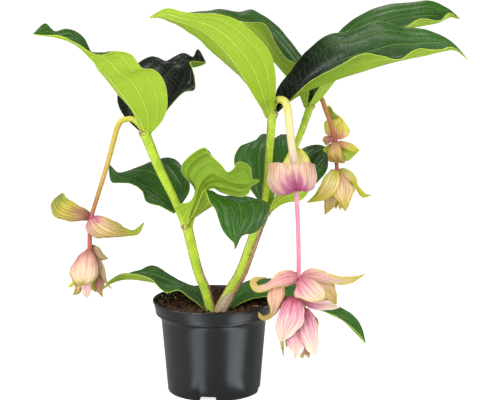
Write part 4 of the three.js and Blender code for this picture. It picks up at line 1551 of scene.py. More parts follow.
@dataclass
class Studio:
    """The floor, the light and the camera."""

    lens: float = 127.5
    camera_place: Point = (50.6, -2400.0, 719.5)
    pitch: float = 10.61
    floor_size: float = 60.0
    world: float = 0.25
    glow: float = 1.6
    wall_radius: float = 68.0
    throw: float = 2.75
    card_count: int = 7
    card_lift: float = 0.003
    card_colour: Point = (0.86, 0.94, 1.0)
    aim: Point = (0.05, 0.0, 0.22)
    sun_power: float = 0.8
    sun_angle: float = 50.0
    sun_turns: Point = (38.0, 0.0, -24.0)
    sensor: float = 36.0

    def area(self, name: str, size: tuple[float, float], power: float) -> bpy.types.Object:
        """Make a rectangular light, of a size in metres and a power in watts."""
        light = bpy.data.lights.new(name, "AREA")
        light.shape = "RECTANGLE"
        light.size, light.size_y = size
        light.energy = power
        lamp = bpy.data.objects.new(name, light)
        bpy.context.scene.collection.objects.link(lamp)
        return lamp

    def floor(self) -> None:
        """Lay a plain pale floor."""
        deselect()
        bpy.ops.mesh.primitive_plane_add(size=self.floor_size)
        floor = bpy.context.object
        floor.name = "floor"
        paint = Paint("pale floor", 0.1)
        cloud = paint.noise(paint.place(), 0.6, 2.0)
        colour = paint.mix(cloud, shade("#bcbcbc"), shade("#c2c2c2"))
        seen = paint.add("ShaderNodeLightPath").outputs["Is Camera Ray"]
        paint.feed(paint.shader.inputs["Emission Color"], colour)
        paint.feed(paint.shader.inputs["Emission Strength"], paint.times(seen, self.glow))
        floor.data.materials.append(paint.finish(colour, 0.9))

    def panel(self, name: str, place: Point, size: tuple[float, float], power: float) -> None:
        """Hang a soft panel that looks at the plant.

        Args:
            name: Its name.
            place: Its middle, in metres.
            size: Its width and height, in metres.
            power: Watts.
        """
        lamp = self.area(name, size, power)
        lamp.location = place
        lamp.rotation_euler = (Vector(self.aim) - Vector(place)).to_track_quat("-Z", "Y").to_euler()

    def card(self, name: str, corners: np.ndarray, glow: float) -> None:
        """Lay a glowing card on the floor before the pot, for the pot to mirror.

        Args:
            name: Its name.
            corners: Its left and right near corners, then its left and right far ones, in metres.
            glow: Its radiance.
        """
        near, far = corners[:2].mean(axis=0), corners[2:].mean(axis=0)
        length = float(np.linalg.norm(far - near))
        ahead = (far - near) / length
        spread = (corners[1::2] - corners[::2]).mean(axis=0)
        width = float(np.linalg.norm(spread - ahead * (spread @ ahead)))
        lamp = self.area(name, (length, width), glow * math.pi * length * width)
        lamp.data.color = self.card_colour
        lamp.location = (*(near + far) / 2, self.card_lift)
        lamp.rotation_euler = (math.pi, 0, math.atan2(ahead[1], ahead[0]))

    def sheen(self, name: str, low: float, side: list[tuple[float, float]], glow: float) -> None:
        """Lay the cards that the pot's wall mirrors as one upright streak.

        Args:
            name: Their name.
            low: The turn of the wall at one side of the streak, in degrees from its front.
            side: Heights on the wall, in millimetres, and the turn of the streak's other side there.
            glow: Their radiance.
        """
        heights, turns = np.array(side).T
        steps = np.linspace(heights[0], heights[-1], self.card_count + 1)
        for k in range(self.card_count):
            corners = []
            for height in steps[k:k + 2]:
                for turn in np.radians([low, np.interp(height, heights, turns)]):
                    wall = np.array([math.sin(turn), -math.cos(turn)]) * self.wall_radius
                    away = np.array([math.sin(2 * turn), -math.cos(2 * turn)])
                    corners.append((wall + away * self.throw * height) * MM)
            self.card(f"{name}_{k}", np.array(corners), glow)

    def build(self) -> None:
        """Set up the whole studio."""
        scene = bpy.context.scene
        self.floor()
        world = bpy.data.worlds.new("studio")
        world.use_nodes = True
        world.node_tree.nodes["Background"].inputs["Color"].default_value = (1, 1, 1, 1)
        world.node_tree.nodes["Background"].inputs["Strength"].default_value = self.world
        scene.world = world
        sun = bpy.data.lights.new("sun", "SUN")
        sun.energy = self.sun_power
        sun.angle = math.radians(self.sun_angle)
        lamp = bpy.data.objects.new("sun", sun)
        lamp.rotation_euler = [math.radians(turn) for turn in self.sun_turns]
        scene.collection.objects.link(lamp)
        self.panel("strip_left", (-0.69, -1.10, 0.5), (0.22, 1.0), 9.5)
        self.panel("strip_right", (1.26, -0.82, 0.55), (0.5, 1.1), 12)
        self.panel("top", (-0.3, -0.5, 1.9), (1.2, 1.2), 8)
        self.panel("low", (-1.3, -0.6, 0.12), (0.6, 0.2), 4)
        self.panel("high_left", (-0.45, 0.06, 1.8), (0.4, 0.4), 3.2)
        self.panel("high_right", (1.08, 0.43, 1.25), (0.35, 0.35), 2.4)
        self.panel("high_back", (0.1, 0.98, 1.6), (0.4, 0.4), 1.8)
        self.panel("low_back", (0.9, 0.4, 0.1), (0.16, 0.16), 0.7)
        self.sheen("left_sheen", -27, [(6, -10), (66, -10), (82, -15), (98, -24)], 1.9)
        self.sheen("right_sheen", 18, [(6, 38), (98, 41)], 2.3)
        camera = bpy.data.cameras.new("camera")
        camera.lens = self.lens
        camera.sensor_width = self.sensor
        camera.clip_end = 100
        eye = bpy.data.objects.new("camera", camera)
        eye.location = Vector(self.camera_place) * MM
        eye.rotation_euler = (math.radians(90 - self.pitch), 0, 0)
        scene.collection.objects.link(eye)
        scene.camera = eye
        scene.view_settings.view_transform = "Standard"


# ---------------------------------------------------------------- the plant

STEMS = [
    Stem(
        "stem_left", "bark_left", "stem",
        [
            Length(
                [(-2, -15, 98), (-4, -13, 115), (-11, -10, 145), (-22, -9, 174), (-36, -11, 235)],
                (7.4, 7.4, 7.3, 7.2, 7.6),
                ridge=0.16, sides=40, step=1.5, rough=0.5,
                patches=[
                    Patch((1, -0.3, 0), 90, 190, 0.9, 0.2, 0.72), Patch((-1, -0.2, 0), 120, 250, 0.7),
                    Patch((-1, -0.5, 0), 90, 128, 0.7, 0.2, 0.6),
                ],
            ),
            Length(
                [(-34, -11, 227), (-54, -12, 275), (-75, -12, 320), (-93, -12, 366)], (6.0, 5.8, 6.8, 7.6),
                ridge=0.14, sides=40, step=1.5, rough=0.3,
                patches=[Patch((1, 0.1, -0.4), 220, 330, 0.9), Patch((-1, 0.6, 0), 240, 372, 0.5)],
            ),
        ],
        knuckles=[((-37, -11, 236), 8.2), ((-93, -12, 365), 8.0)],
    ),
    Stem(
        "stem_right", "bark_right", "stem",
        [
            Length(
                [(2, -14, 98), (8, -13, 114), (24, -10, 144), (40, -9, 173), (60, -11, 230), (71, -12, 257)],
                (9.4, 9.2, 8.9, 8.7, 8.5, 8.4), ridge=0.16, sides=40, step=1.5, rough=0.7,
                patches=[
                    Patch((1, -0.35, -0.3), 90, 256, 0.85, 0.3, 0.5),
                    Patch((0.4, -1, 0), 90, 148, 1.0, 1.0, 0.4),
                    Patch((-1, 0, 0.4), 90, 256, 0.8, 0.4), Patch((0, 1, 0), 90, 200, 0.8, 0.4, 0.3),
                ],
            ),
            Length(
                [(69, -12, 252), (74, -14, 300), (77, -15, 342), (81, -15, 392)], (6.0, 5.6, 5.7, 6.4),
                ridge=0.14, sides=40, step=1.5, rough=0.4,
                patches=[Patch((-1, -0.15, 0), 250, 396), Patch((0.3, 1, 0), 250, 396, 0.6)],
            ),
            Length(
                [(72, -9, 254), (82, 2, 281), (99, 18, 316), (118, 34, 350), (135, 54, 394)],
                (4.2, 4.3, 4.4, 4.7, 5.6), ridge=0.12, sides=32, step=1.5, rough=0.3,
                patches=[Patch((1, 0.2, -0.3), 250, 396, 0.7)],
            ),
        ],
        knuckles=[((71, -12, 256), 9.0), ((82, -14, 391), 7.0), ((135, 54, 393), 6.2)],
    ),
]

STALKS = [
    (
        Stem(
            "stalk_left", "skin_left", "flower_stalk",
            [
                Length(
                    [
                        (-92, -8, 366), (-103, 0, 377), (-111, 2, 382), (-118, 2, 382), (-125, 0, 380),
                        (-130, -2, 373), (-134, -6, 360), (-142, -10, 330), (-149, -12, 307),
                        (-157, -14, 282), (-166, -16, 253), (-169, -18, 236), (-170, -18, 202),
                    ],
                    (4.2, 4.0, 3.9, 3.9, 3.9, 3.8, 3.7, 3.4, 3.2, 3.1, 3.1, 3.1, 3.3),
                ),
            ],
        ),
        [
            SkinFinish(
                "skin left",
                (
                    (0.0, "#b4c93c"), (0.3, "#cfcc40"), (0.45, "#cdb848"), (0.72, "#c29a4c"),
                    (0.82, "#b5784a"), (0.865, "#c2567a"), (0.9, "#b8604a"), (1.0, "#b4603f"),
                ),
                "#8c5a34",
            ),
        ],
    ),
    (
        Stem(
            "stalk_front", "skin_front", "flower_stalk",
            [
                Length(
                    [
                        (82, -10, 394), (83, -16, 405), (87, -26, 412), (93, -38, 414), (98, -50, 412),
                        (101, -60, 403), (103, -68, 384), (106, -72, 358), (109, -75, 331),
                        (112, -76, 298),
                    ],
                    (4.8, 4.6, 4.8, 5.0, 5.3, 5.4, 5.4, 5.2, 4.6, 4.0),
                ),
                Length(
                    [(112, -76, 303), (115, -78, 244), (116, -78, 182), (114, -78, 148)],
                    (3.1, 3.0, 3.0, 2.8), step=1.4,
                ),
            ],
        ),
        [
            SkinFinish(
                "skin front upper",
                (
                    (0.0, "#a9c83a"), (0.3, "#c8d444"), (0.5, "#e2d878"), (0.68, "#eedca4"),
                    (0.85, "#f6dcc8"), (1.0, "#f2cfc8"),
                ),
                "#c7b55c",
            ),
            SkinFinish(
                "skin front lower",
                ((0.0, "#eab0b8"), (0.2, "#e08a9e"), (0.7, "#da7c94"), (1.0, "#cd6484")), "#f6d3dc",
            ),
        ],
    ),
    (
        Stem(
            "stalk_back", "skin_back", "flower_stalk",
            [
                Length(
                    [
                        (132, 55, 394), (141, 68, 399), (147, 70, 403), (152, 68, 400), (157, 64, 386),
                        (164, 60, 367), (169, 57, 345), (173, 54, 302),
                    ],
                    (3.8, 3.5, 3.5, 3.5, 3.4, 3.3, 3.0, 2.8),
                ),
            ],
        ),
        [
            SkinFinish(
                "skin back",
                ((0.0, "#c0c03a"), (0.3, "#d3b548"), (0.5, "#c8904a"), (0.75, "#c07448"), (1.0, "#ac5848")),
                "#a05f38",
            ),
        ],
    ),
]

LEAVES = [
    Leaf(
        "leaf_left_front",
        left=[(-84, -14, 365), (-67, -36, 386), (-59, -60, 412), (-62, -82, 443), (-75, -94, 461),
            (-90, -104, 464), (-103, -116, 483), (-122, -124, 488), (-144, -136, 484), (-168, -148, 499),
            (-190, -158, 511), (-207, -164, 512)],
        rib=[(-91, -14, 364), (-99, -34, 389), (-110, -54, 410), (-122, -73, 431), (-134, -91, 450),
            (-146, -107, 466), (-157, -122, 481), (-169, -135, 495), (-182, -147, 504), (-200, -157, 510),
            (-223, -163, 513)],
        right=[(-98, -12, 364), (-106, -24, 391), (-115, -40, 409), (-128, -57, 427), (-141, -74, 448),
            (-152, -88, 466), (-158, -100, 486), (-165, -112, 505), (-183, -126, 517), (-200, -138, 515),
            (-210, -150, 526)],
        tone=(0.5, 0.42), arch=0.03,
    ),
    Leaf(
        "leaf_left_back",
        left=[(-96, -4, 362), (-124, 28, 383), (-135, 58, 404), (-127, 82, 429), (-106, 98, 450),
            (-88, 108, 457), (-73, 114, 448), (-46, 120, 461), (-31, 120, 455), (-23, 112, 467)],
        rib=[(-93, -6, 363), (-79, 12, 378), (-66, 32, 393), (-55, 52, 409), (-46, 70, 425), (-40, 84, 438),
            (-34, 96, 446), (-29, 100, 443), (-19, 104, 445), (-12, 106, 448)],
        right=[(-87, -8, 364), (-70, 0, 384), (-57, 15, 401), (-41, 30, 415), (-27, 42, 417),
            (-26, 52, 430), (-29, 66, 442), (-34, 84, 452), (-17, 98, 450)],
        # Painted shade: this leaf's tone keeps it near black.
        tone=(-0.2, 0.05),
    ),
    Leaf(
        "leaf_top_left",
        left=[(80, -16, 388), (84, -40, 415), (85, -66, 447), (78, -90, 480), (60, -110, 505),
            (38, -128, 526), (12, -142, 537), (-10, -150, 538), (-33, -156, 541), (-55, -162, 546)],
        rib=[(76, -16, 385), (65, -34, 405), (52, -54, 429), (40, -73, 453), (26, -92, 476), (9, -110, 497),
            (-8, -126, 513), (-26, -140, 523), (-43, -152, 530), (-60, -163, 535), (-76, -172, 535)],
        right=[(72, -13, 386), (60, -14, 411), (45, -16, 433), (29, -28, 452), (12, -44, 468),
            (-5, -62, 486), (-20, -80, 502), (-35, -98, 514), (-51, -118, 525), (-64, -140, 532)],
        tone=(0.4, 0.6), arch=0.03,
    ),
    Leaf(
        "leaf_branch_left",
        left=[(130, 44, 397), (131, 29, 421), (119, 16, 452), (98, 14, 465), (85, 16, 486), (70, 22, 510),
            (44, 30, 512), (20, 36, 517), (-4, 42, 521)],
        rib=[(127, 50, 391), (119, 52, 412), (102, 54, 435), (85, 56, 455), (67, 56, 477), (48, 56, 495),
            (28, 54, 508), (8, 52, 517), (-14, 50, 522), (-39, 48, 523)],
        right=[(136, 58, 398), (141, 80, 430), (123, 98, 459), (103, 104, 485), (80, 104, 508),
            (55, 102, 523), (37, 96, 521), (11, 86, 525), (-11, 70, 523)],
        tone=(0.5, 0.35),
    ),
    Leaf(
        "leaf_right_front",
        left=[(82, -10, 399), (89, 2, 425), (107, 8, 449), (128, 8, 475), (154, 4, 496), (186, -2, 503),
            (223, -10, 516), (257, -20, 510), (288, -34, 507), (315, -50, 495)],
        rib=[(85, -14, 393), (113, -22, 416), (139, -28, 430), (169, -34, 442), (198, -40, 452),
            (227, -46, 462), (255, -52, 470), (281, -58, 476), (303, -64, 482), (321, -68, 484),
            (337, -72, 472)],
        right=[(90, -18, 395), (119, -46, 429), (143, -66, 450), (170, -80, 465), (196, -90, 481),
            (224, -96, 478), (247, -98, 475), (269, -96, 488), (297, -92, 486), (316, -84, 489)],
        # Painted shade: the foot is near black, the tip light.
        tone=(-0.3, 0.85),
    ),
    Leaf(
        "leaf_branch_right",
        left=[(136, 62, 394), (141, 84, 421), (152, 98, 453), (170, 108, 483), (192, 114, 505),
            (219, 118, 521), (251, 120, 530), (280, 118, 533), (307, 114, 535), (327, 108, 527),
            (339, 100, 518)],
        rib=[(133, 54, 388), (151, 56, 406), (169, 58, 429), (187, 62, 451), (205, 66, 469), (225, 70, 483),
            (248, 76, 493), (269, 82, 499), (292, 86, 503), (315, 90, 507), (332, 94, 514), (345, 96, 511)],
        right=[(132, 46, 393), (142, 32, 415), (154, 20, 438), (174, 18, 456), (193, 20, 471),
            (215, 26, 485), (239, 34, 500), (263, 44, 504), (286, 56, 514), (314, 68, 511), (329, 84, 520)],
        tone=(0.5, 0.5),
    ),
    Leaf(
        "leaf_mid_left",
        left=[(-54, -12, 253), (-71, -6, 261), (-92, 6, 266), (-100, 24, 278), (-116, 48, 284),
            (-134, 76, 280), (-149, 104, 278)],
        rib=[(-50, -8, 255), (-66, 14, 267), (-85, 36, 277), (-103, 58, 283), (-120, 80, 285),
            (-136, 100, 286), (-147, 118, 289), (-154, 132, 298)],
        right=[(-46, -2, 260), (-33, 18, 281), (-39, 50, 299), (-57, 82, 314), (-84, 106, 308),
            (-114, 122, 290), (-136, 130, 282)],
        tone=(0.45, 0.4),
    ),
    Leaf(
        "leaf_mid_curled",
        left=[(-28, -20, 235), (-22, -34, 261), (-13, -48, 283), (0, -60, 297), (13, -70, 293),
            (27, -78, 290), (40, -84, 290), (49, -88, 295), (52, -92, 305)],
        rib=[(-37, -18, 236), (-31, -32, 259), (-23, -46, 281), (-17, -58, 300), (-9, -70, 314),
            (1, -80, 321), (13, -88, 317), (27, -92, 311), (40, -94, 310), (52, -94, 311), (63, -92, 313)],
        right=[(-54, -16, 262), (-44, -24, 269), (-32, -34, 274), (-25, -46, 286), (-25, -58, 300),
            (-39, -70, 317), (-40, -80, 331), (-31, -88, 344), (-17, -94, 355), (-7, -97, 358),
            (-2, -100, 349), (12, -103, 337), (20, -106, 327), (28, -107, 331), (33, -106, 339),
            (41, -103, 340), (51, -100, 332), (53, -96, 317)],
        # Painted shade: the tone falls below 0 towards the tip.
        tone=(0.2, -0.35),
    ),
    Leaf(
        "leaf_mid_hanging",
        left=[(-23, -18, 250), (1, -22, 266), (29, -30, 273), (56, -40, 276), (76, -52, 274),
            (73, -66, 256), (57, -84, 242), (41, -102, 242)],
        rib=[(-30, -18, 243), (-12, -38, 267), (8, -56, 284), (27, -74, 285), (37, -90, 279),
            (39, -102, 266), (36, -110, 252), (33, -114, 239), (31, -116, 226)],
        right=[(-36, -22, 238), (-21, -52, 270), (-11, -78, 298), (-3, -96, 286), (4, -106, 278),
            (9, -112, 265), (14, -115, 252), (22, -116, 241), (29, -117, 234)],
        tone=(0.5, 0.6),
    ),
    Leaf(
        "leaf_right_back",
        left=[(67, -8, 264), (51, 12, 282), (35, 34, 296), (28, 58, 315), (36, 84, 331), (56, 106, 335),
            (69, 126, 343)],
        rib=[(73, -8, 260), (76, 14, 279), (79, 38, 297), (82, 62, 316), (83, 86, 330), (85, 110, 337),
            (87, 130, 337), (88, 150, 328)],
        right=[(77, -6, 264), (89, 18, 286), (98, 42, 307), (106, 66, 326), (110, 88, 338), (108, 108, 343),
            (101, 124, 342)],
        tone=(0.6, 0.5),
    ),
    Leaf(
        "leaf_right_side",
        left=[(78, -1, 265), (96, 14, 289), (110, 34, 313), (122, 56, 331), (137, 78, 334), (151, 95, 332)],
        rib=[(78, -4, 262), (98, 16, 278), (116, 38, 294), (132, 58, 308), (145, 76, 318), (155, 92, 322),
            (162, 104, 325)],
        right=[(81, -8, 262), (108, 0, 274), (131, 18, 279), (147, 38, 290), (159, 58, 302),
            (161, 78, 314)],
        tone=(0.5, 0.45),
    ),
    Leaf(
        "leaf_right_small",
        left=[(78, -10, 261), (92, -4, 271), (107, 2, 278), (122, 4, 286), (132, 0, 294)],
        rib=[(78, -14, 254), (92, -16, 266), (105, -16, 271), (119, -16, 273), (130, -14, 284),
            (137, -14, 300)],
        right=[(77, -18, 262), (87, -28, 281), (102, -34, 291), (117, -34, 297), (128, -30, 300)],
        tone=(0.5, 0.5),
    ),
    Leaf(
        "leaf_low_left",
        left=[(-8, -14, 113), (-19, -12, 123), (-34, -10, 135), (-48, -10, 144), (-63, -14, 142),
            (-73, -12, 147), (-84, -8, 157), (-95, -2, 162), (-112, 6, 164), (-129, 14, 161),
            (-146, 26, 150)],
        rib=[(-3, -6, 110), (-23, 22, 126), (-42, 30, 140), (-64, 32, 143), (-86, 34, 146), (-108, 36, 149),
            (-127, 38, 149), (-144, 38, 144), (-159, 38, 133)],
        right=[(-1, -2, 113), (-20, 42, 134), (-44, 60, 137), (-66, 66, 150), (-88, 70, 162),
            (-107, 68, 155), (-126, 62, 151), (-141, 52, 149)],
        tone=(0.5, 0.7),
    ),
    Leaf(
        "leaf_low_right",
        left=[(17, 6, 117), (35, 52, 136), (61, 74, 141), (97, 84, 136), (133, 84, 122), (166, 76, 106),
            (194, 62, 94), (209, 48, 78)],
        rib=[(17, 0, 115), (45, 26, 128), (72, 32, 136), (103, 36, 136), (133, 38, 123), (157, 36, 103),
            (181, 34, 91), (199, 32, 74), (214, 30, 58)],
        right=[(21, -4, 115), (49, 4, 127), (74, -4, 134), (103, -8, 130), (130, -6, 120), (160, 6, 108),
            (184, 14, 93), (203, 20, 75)],
        tone=(0.7, 0.8),
    ),
]

BLOOMS = [
    Bloom("bloom_left_upper", (-168, -16, 250), 5, [
        Petal(
            Tint.OLIVE,
            [(-172, -14, 245), (-182, -23, 245), (-196, -29, 246), (-213, -31, 251), (-220, -30, 260),
             (-219, -27, 272)],
            [(-168, -17, 251), (-181, -30, 257), (-195, -38, 262), (-206, -38, 267), (-211, -32, 275),
             (-206, -22, 284)],
            [(-168, -15, 255), (-176, -24, 263), (-185, -30, 269), (-193, -31, 275), (-200, -30, 279),
             (-202, -25, 282)],
        ),
        Petal(
            Tint.ROSE_GOLD,
            [(-163, -17, 251), (-150, -29, 253), (-139, -32, 249), (-128, -30, 243), (-118, -28, 235),
             (-108, -25, 233)],
            [(-166, -18, 250), (-154, -34, 244), (-140, -38, 237), (-127, -36, 231), (-112, -32, 229),
             (-101, -28, 233), (-94, -24, 244)],
            [(-172, -15, 246), (-174, -23, 234), (-163, -27, 223), (-145, -30, 223), (-126, -31, 225),
             (-108, -29, 226), (-100, -26, 230)],
        ),
    ], slot="upper_bract"),
    Bloom("bloom_left_lower", (-171, -18, 203), 6, [
        Petal(
            Tint.BELL,
            [(-166, -18, 202), (-161, -26, 194), (-158, -29, 182), (-158, -30, 171), (-164, -30, 162),
             (-173, -31, 158)],
            [(-171, -20, 204), (-172, -34, 196), (-174, -39, 183), (-176, -38, 170), (-178, -35, 162),
             (-180, -31, 157)],
            [(-176, -18, 202), (-187, -25, 194), (-195, -27, 181), (-197, -28, 170), (-191, -30, 161),
             (-184, -31, 158)],
        ),
        Petal(
            Tint.TAN,
            [(-166, -12, 210), (-157, -16, 206), (-151, -15, 197)],
            [(-168, -14, 206), (-159, -18, 200), (-152, -16, 194), (-145, -13, 190)],
            [(-167, -12, 201), (-162, -15, 193), (-154, -14, 188)],
        ),
        Petal(
            Tint.TAN,
            [(-162, -14, 197), (-153, -18, 186), (-149, -18, 174), (-148, -15, 162), (-145, -13, 153)],
            [(-165, -16, 200), (-158, -20, 187), (-154, -20, 173), (-150, -16, 160), (-145, -13, 153),
             (-140, -10, 146)],
            [(-165, -12, 189), (-161, -18, 181), (-158, -19, 171), (-151, -15, 160), (-147, -12, 152)],
        ),
        Petal(
            Tint.RUST,
            [(-159, -10, 185), (-151, -12, 167), (-151, -13, 154), (-154, -12, 144)],
            [(-163, -12, 188), (-157, -15, 169), (-156, -15, 155), (-156, -13, 144), (-153, -10, 134)],
            [(-163, -8, 176), (-164, -11, 159), (-163, -11, 147), (-159, -11, 140)],
        ),
        Petal(
            Tint.LIME,
            [(-164, -6, 175), (-161, -8, 157), (-161, -8, 147)],
            [(-168, -10, 185), (-167, -12, 167), (-165, -11, 154), (-163, -9, 141)],
            [(-172, -6, 175), (-173, -8, 157), (-170, -8, 147)],
        ),
        Petal(
            Tint.CREAM,
            [(-180, -11, 171), (-181, -16, 155), (-185, -16, 142)],
            [(-180, -16, 186), (-184, -20, 164), (-188, -19, 150), (-195, -15, 139)],
            [(-189, -11, 173), (-191, -17, 158), (-192, -17, 145)],
        ),
        Petal(
            Tint.PINK,
            [(-169, -18, 172), (-168, -23, 155), (-169, -24, 145)],
            [(-172, -22, 187), (-174, -26, 166), (-175, -26, 149), (-174, -24, 136)],
            [(-178, -18, 172), (-181, -23, 155), (-180, -24, 142)],
        ),
        Petal(
            Tint.LIME,
            [(-189, -22, 168), (-190, -25, 158), (-196, -24, 152)],
            [(-190, -24, 176), (-191, -26, 164), (-193, -26, 157), (-197, -24, 154), (-201, -22, 154)],
            [(-193, -23, 171), (-194, -26, 161), (-198, -24, 155)],
        ),
        Petal(
            Tint.CREAM,
            [(-168, -10, 196), (-160, -1, 180), (-162, -2, 157)],
            [(-172, -8, 200), (-176, 5, 173), (-177, 4, 152), (-176, -4, 138)],
            [(-176, -10, 196), (-191, -1, 177), (-189, -1, 157)],
            bulge=-0.2,
        ),
    ], buds=3),
    Bloom("bloom_front_upper", (112, -76, 299), 7, [
        Petal(
            Tint.SKIRT,
            [(107, -76, 298), (99, -79, 295), (89, -81, 292), (80, -84, 297), (74, -87, 311),
             (75, -91, 325), (76, -89, 336)],
            [(112, -79, 298), (112, -87, 302), (111, -95, 309), (110, -102, 317), (108, -106, 325),
             (107, -108, 332), (106, -105, 337)],
            [(117, -77, 298), (124, -81, 299), (132, -84, 299), (137, -87, 305), (139, -90, 314),
             (138, -92, 325), (136, -90, 335)],
            blunt=True,
        ),
        Petal(
            Tint.YELLOW,
            [(103, -66, 300), (92, -55, 318), (96, -54, 333), (103, -57, 346)],
            [(113, -68, 299), (114, -58, 316), (114, -57, 335), (113, -59, 346), (113, -62, 354)],
            [(124, -66, 300), (132, -55, 319), (130, -55, 336), (122, -58, 348)],
            bulge=0.1,
        ),
    ], slot="upper_bract"),
    Bloom("bloom_front_middle", (116, -78, 182), 5, [
        Petal(
            Tint.PEACH,
            [(115, -78, 174), (103, -86, 169), (88, -93, 169), (72, -95, 164), (59, -94, 162),
             (51, -91, 171), (53, -86, 178)],
            [(116, -80, 180), (101, -90, 182), (87, -96, 179), (72, -97, 172), (60, -95, 167),
             (55, -92, 173), (61, -88, 180), (73, -85, 180)],
            [(113, -78, 186), (100, -87, 191), (87, -93, 188), (77, -95, 177), (63, -93, 171),
             (59, -91, 175), (65, -86, 178)],
        ),
        Petal(
            Tint.PEACH,
            [(121, -76, 185), (133, -69, 189), (148, -64, 185), (163, -61, 178), (179, -58, 175),
             (196, -58, 176)],
            [(119, -78, 181), (134, -72, 181), (149, -67, 176), (164, -63, 171), (181, -60, 170),
             (194, -59, 172), (208, -57, 179)],
            [(122, -76, 176), (136, -70, 173), (151, -65, 168), (166, -61, 165), (181, -58, 164),
             (194, -58, 169)],
        ),
        Petal(
            Tint.BLUSH,
            [(122, -81, 180), (134, -92, 178), (145, -98, 173), (152, -101, 165), (153, -102, 158)],
            [(118, -83, 180), (124, -96, 175), (131, -104, 168), (137, -107, 161), (143, -106, 156),
             (147, -104, 153)],
            [(116, -81, 176), (112, -90, 167), (110, -95, 157), (120, -100, 154), (133, -102, 151)],
        ),
        Petal(
            Tint.CREAM,
            [(140, -63, 173), (162, -53, 166), (168, -53, 152)],
            [(129, -66, 172), (146, -58, 163), (159, -56, 152), (169, -54, 136)],
            [(129, -64, 165), (146, -54, 147), (160, -52, 138)],
        ),
        Petal(
            Tint.CREAM,
            [(98, -81, 177), (97, -85, 166), (97, -87, 154), (91, -87, 141), (85, -85, 129), (72, -85, 121),
             (63, -84, 124)],
            [(100, -82, 177), (88, -88, 166), (85, -91, 153), (84, -89, 140), (80, -87, 130),
             (71, -86, 125), (65, -85, 126), (62, -84, 132)],
            [(92, -79, 174), (77, -85, 164), (74, -88, 152), (77, -87, 139), (77, -86, 131), (69, -85, 127),
             (66, -84, 129)],
        ),
    ]),
    Bloom("bloom_front_lower", (114, -78, 149), 6, [
        Petal(
            Tint.PINK,
            [(118, -79, 150), (122, -92, 143), (123, -98, 132), (121, -101, 120), (110, -103, 108),
             (101, -101, 100)],
            [(110, -83, 152), (106, -102, 145), (103, -110, 135), (99, -111, 123), (96, -106, 109),
             (93, -100, 96)],
            [(101, -79, 151), (93, -92, 143), (88, -100, 131), (85, -103, 119), (86, -103, 108),
             (89, -100, 98)],
        ),
        Petal(
            Tint.PINK,
            [(130, -77, 135), (138, -83, 125), (142, -87, 112), (143, -89, 95), (143, -87, 80)],
            [(123, -80, 136), (127, -90, 123), (130, -94, 107), (135, -92, 90), (140, -86, 71)],
            [(122, -78, 131), (118, -84, 118), (110, -84, 102), (119, -87, 90), (131, -87, 77)],
        ),
        Petal(
            Tint.PINK,
            [(114, -84, 114), (117, -91, 98), (123, -92, 86), (119, -92, 76)],
            [(109, -86, 119), (108, -97, 104), (111, -97, 87), (112, -88, 66)],
            [(101, -83, 110), (100, -90, 95), (104, -93, 83), (108, -92, 73)],
        ),
        Petal(
            Tint.RUST,
            [(124, -82, 84), (125, -86, 76)],
            [(119, -84, 96), (121, -87, 82), (122, -84, 67)],
            [(118, -82, 84), (117, -85, 73)],
        ),
        Petal(
            Tint.RUST,
            [(131, -77, 79), (132, -81, 73)],
            [(124, -80, 95), (127, -83, 80), (131, -80, 67)],
            [(124, -77, 79), (125, -81, 72)],
        ),
        Petal(
            Tint.CREAM,
            [(96, -86, 94), (96, -87, 83)],
            [(94, -88, 103), (94, -88, 87), (96, -86, 70)],
            [(92, -86, 94), (94, -87, 80)],
        ),
        Petal(
            Tint.RUST,
            [(102, -87, 94), (101, -87, 86)],
            [(100, -88, 100), (100, -88, 92), (99, -86, 83)],
            [(99, -87, 94), (99, -87, 87)],
        ),
        Petal(
            Tint.RUST,
            [(137, -73, 125), (143, -74, 118)],
            [(132, -74, 130), (140, -74, 119), (143, -73, 107)],
            [(135, -73, 124), (140, -73, 116)],
        ),
        Petal(
            Tint.PINK,
            [(122, -73, 149), (136, -65, 144), (153, -57, 142), (164, -52, 138)],
            [(118, -74, 148), (135, -64, 138), (153, -56, 136), (173, -50, 130)],
            [(122, -72, 142), (135, -64, 131), (151, -57, 128), (164, -52, 128)],
        ),
        Petal(
            Tint.RUST,
            [(102, -73, 142), (95, -78, 132)],
            [(103, -76, 151), (97, -80, 145), (93, -80, 137), (91, -78, 125)],
            [(96, -74, 150), (91, -78, 138)],
        ),
        Petal(
            Tint.CREAM,
            [(124, -68, 139), (132, -56, 118), (137, -54, 94)],
            [(117, -64, 145), (119, -50, 119), (121, -47, 95), (125, -52, 70)],
            [(110, -68, 139), (104, -56, 118), (105, -53, 93)],
            bulge=-0.2,
        ),
        Petal(
            Tint.CREAM,
            [(113, -67, 128), (115, -61, 104)],
            [(109, -72, 146), (99, -66, 119), (100, -66, 102), (102, -70, 84)],
            [(93, -66, 130), (91, -63, 104)],
        ),
    ], buds=4),
    Bloom("bloom_back_upper", (171, 57, 344), 5, [
        Petal(
            Tint.FRILL,
            [(167, 60, 347), (157, 64, 352), (155, 67, 362), (157, 68, 370)],
            [(171, 60, 345), (172, 65, 355), (174, 67, 365), (179, 68, 375)],
            [(178, 60, 345), (188, 65, 349), (191, 67, 357), (186, 68, 366)],
            bulge=0.15,
        ),
        Petal(
            Tint.GREEN,
            [(163, 73, 369), (163, 73, 378), (160, 71, 386), (159, 68, 390)],
            [(173, 72, 367), (170, 72, 375), (165, 70, 383), (163, 68, 390), (161, 67, 393)],
            [(180, 73, 370), (178, 73, 375), (168, 70, 383), (165, 68, 389)],
            bulge=0.12,
        ),
        Petal(
            Tint.RUST,
            [(164, 55, 343), (157, 51, 339)],
            [(170, 54, 347), (161, 50, 347), (155, 49, 345), (152, 49, 346)],
            [(163, 55, 350), (155, 51, 351)],
        ),
        Petal(
            Tint.AMBER,
            [(174, 56, 341), (179, 51, 333), (180, 48, 324), (183, 48, 314)],
            [(169, 54, 343), (169, 45, 334), (170, 42, 325), (172, 43, 315)],
            [(165, 56, 341), (160, 51, 332), (159, 48, 324), (161, 46, 317)],
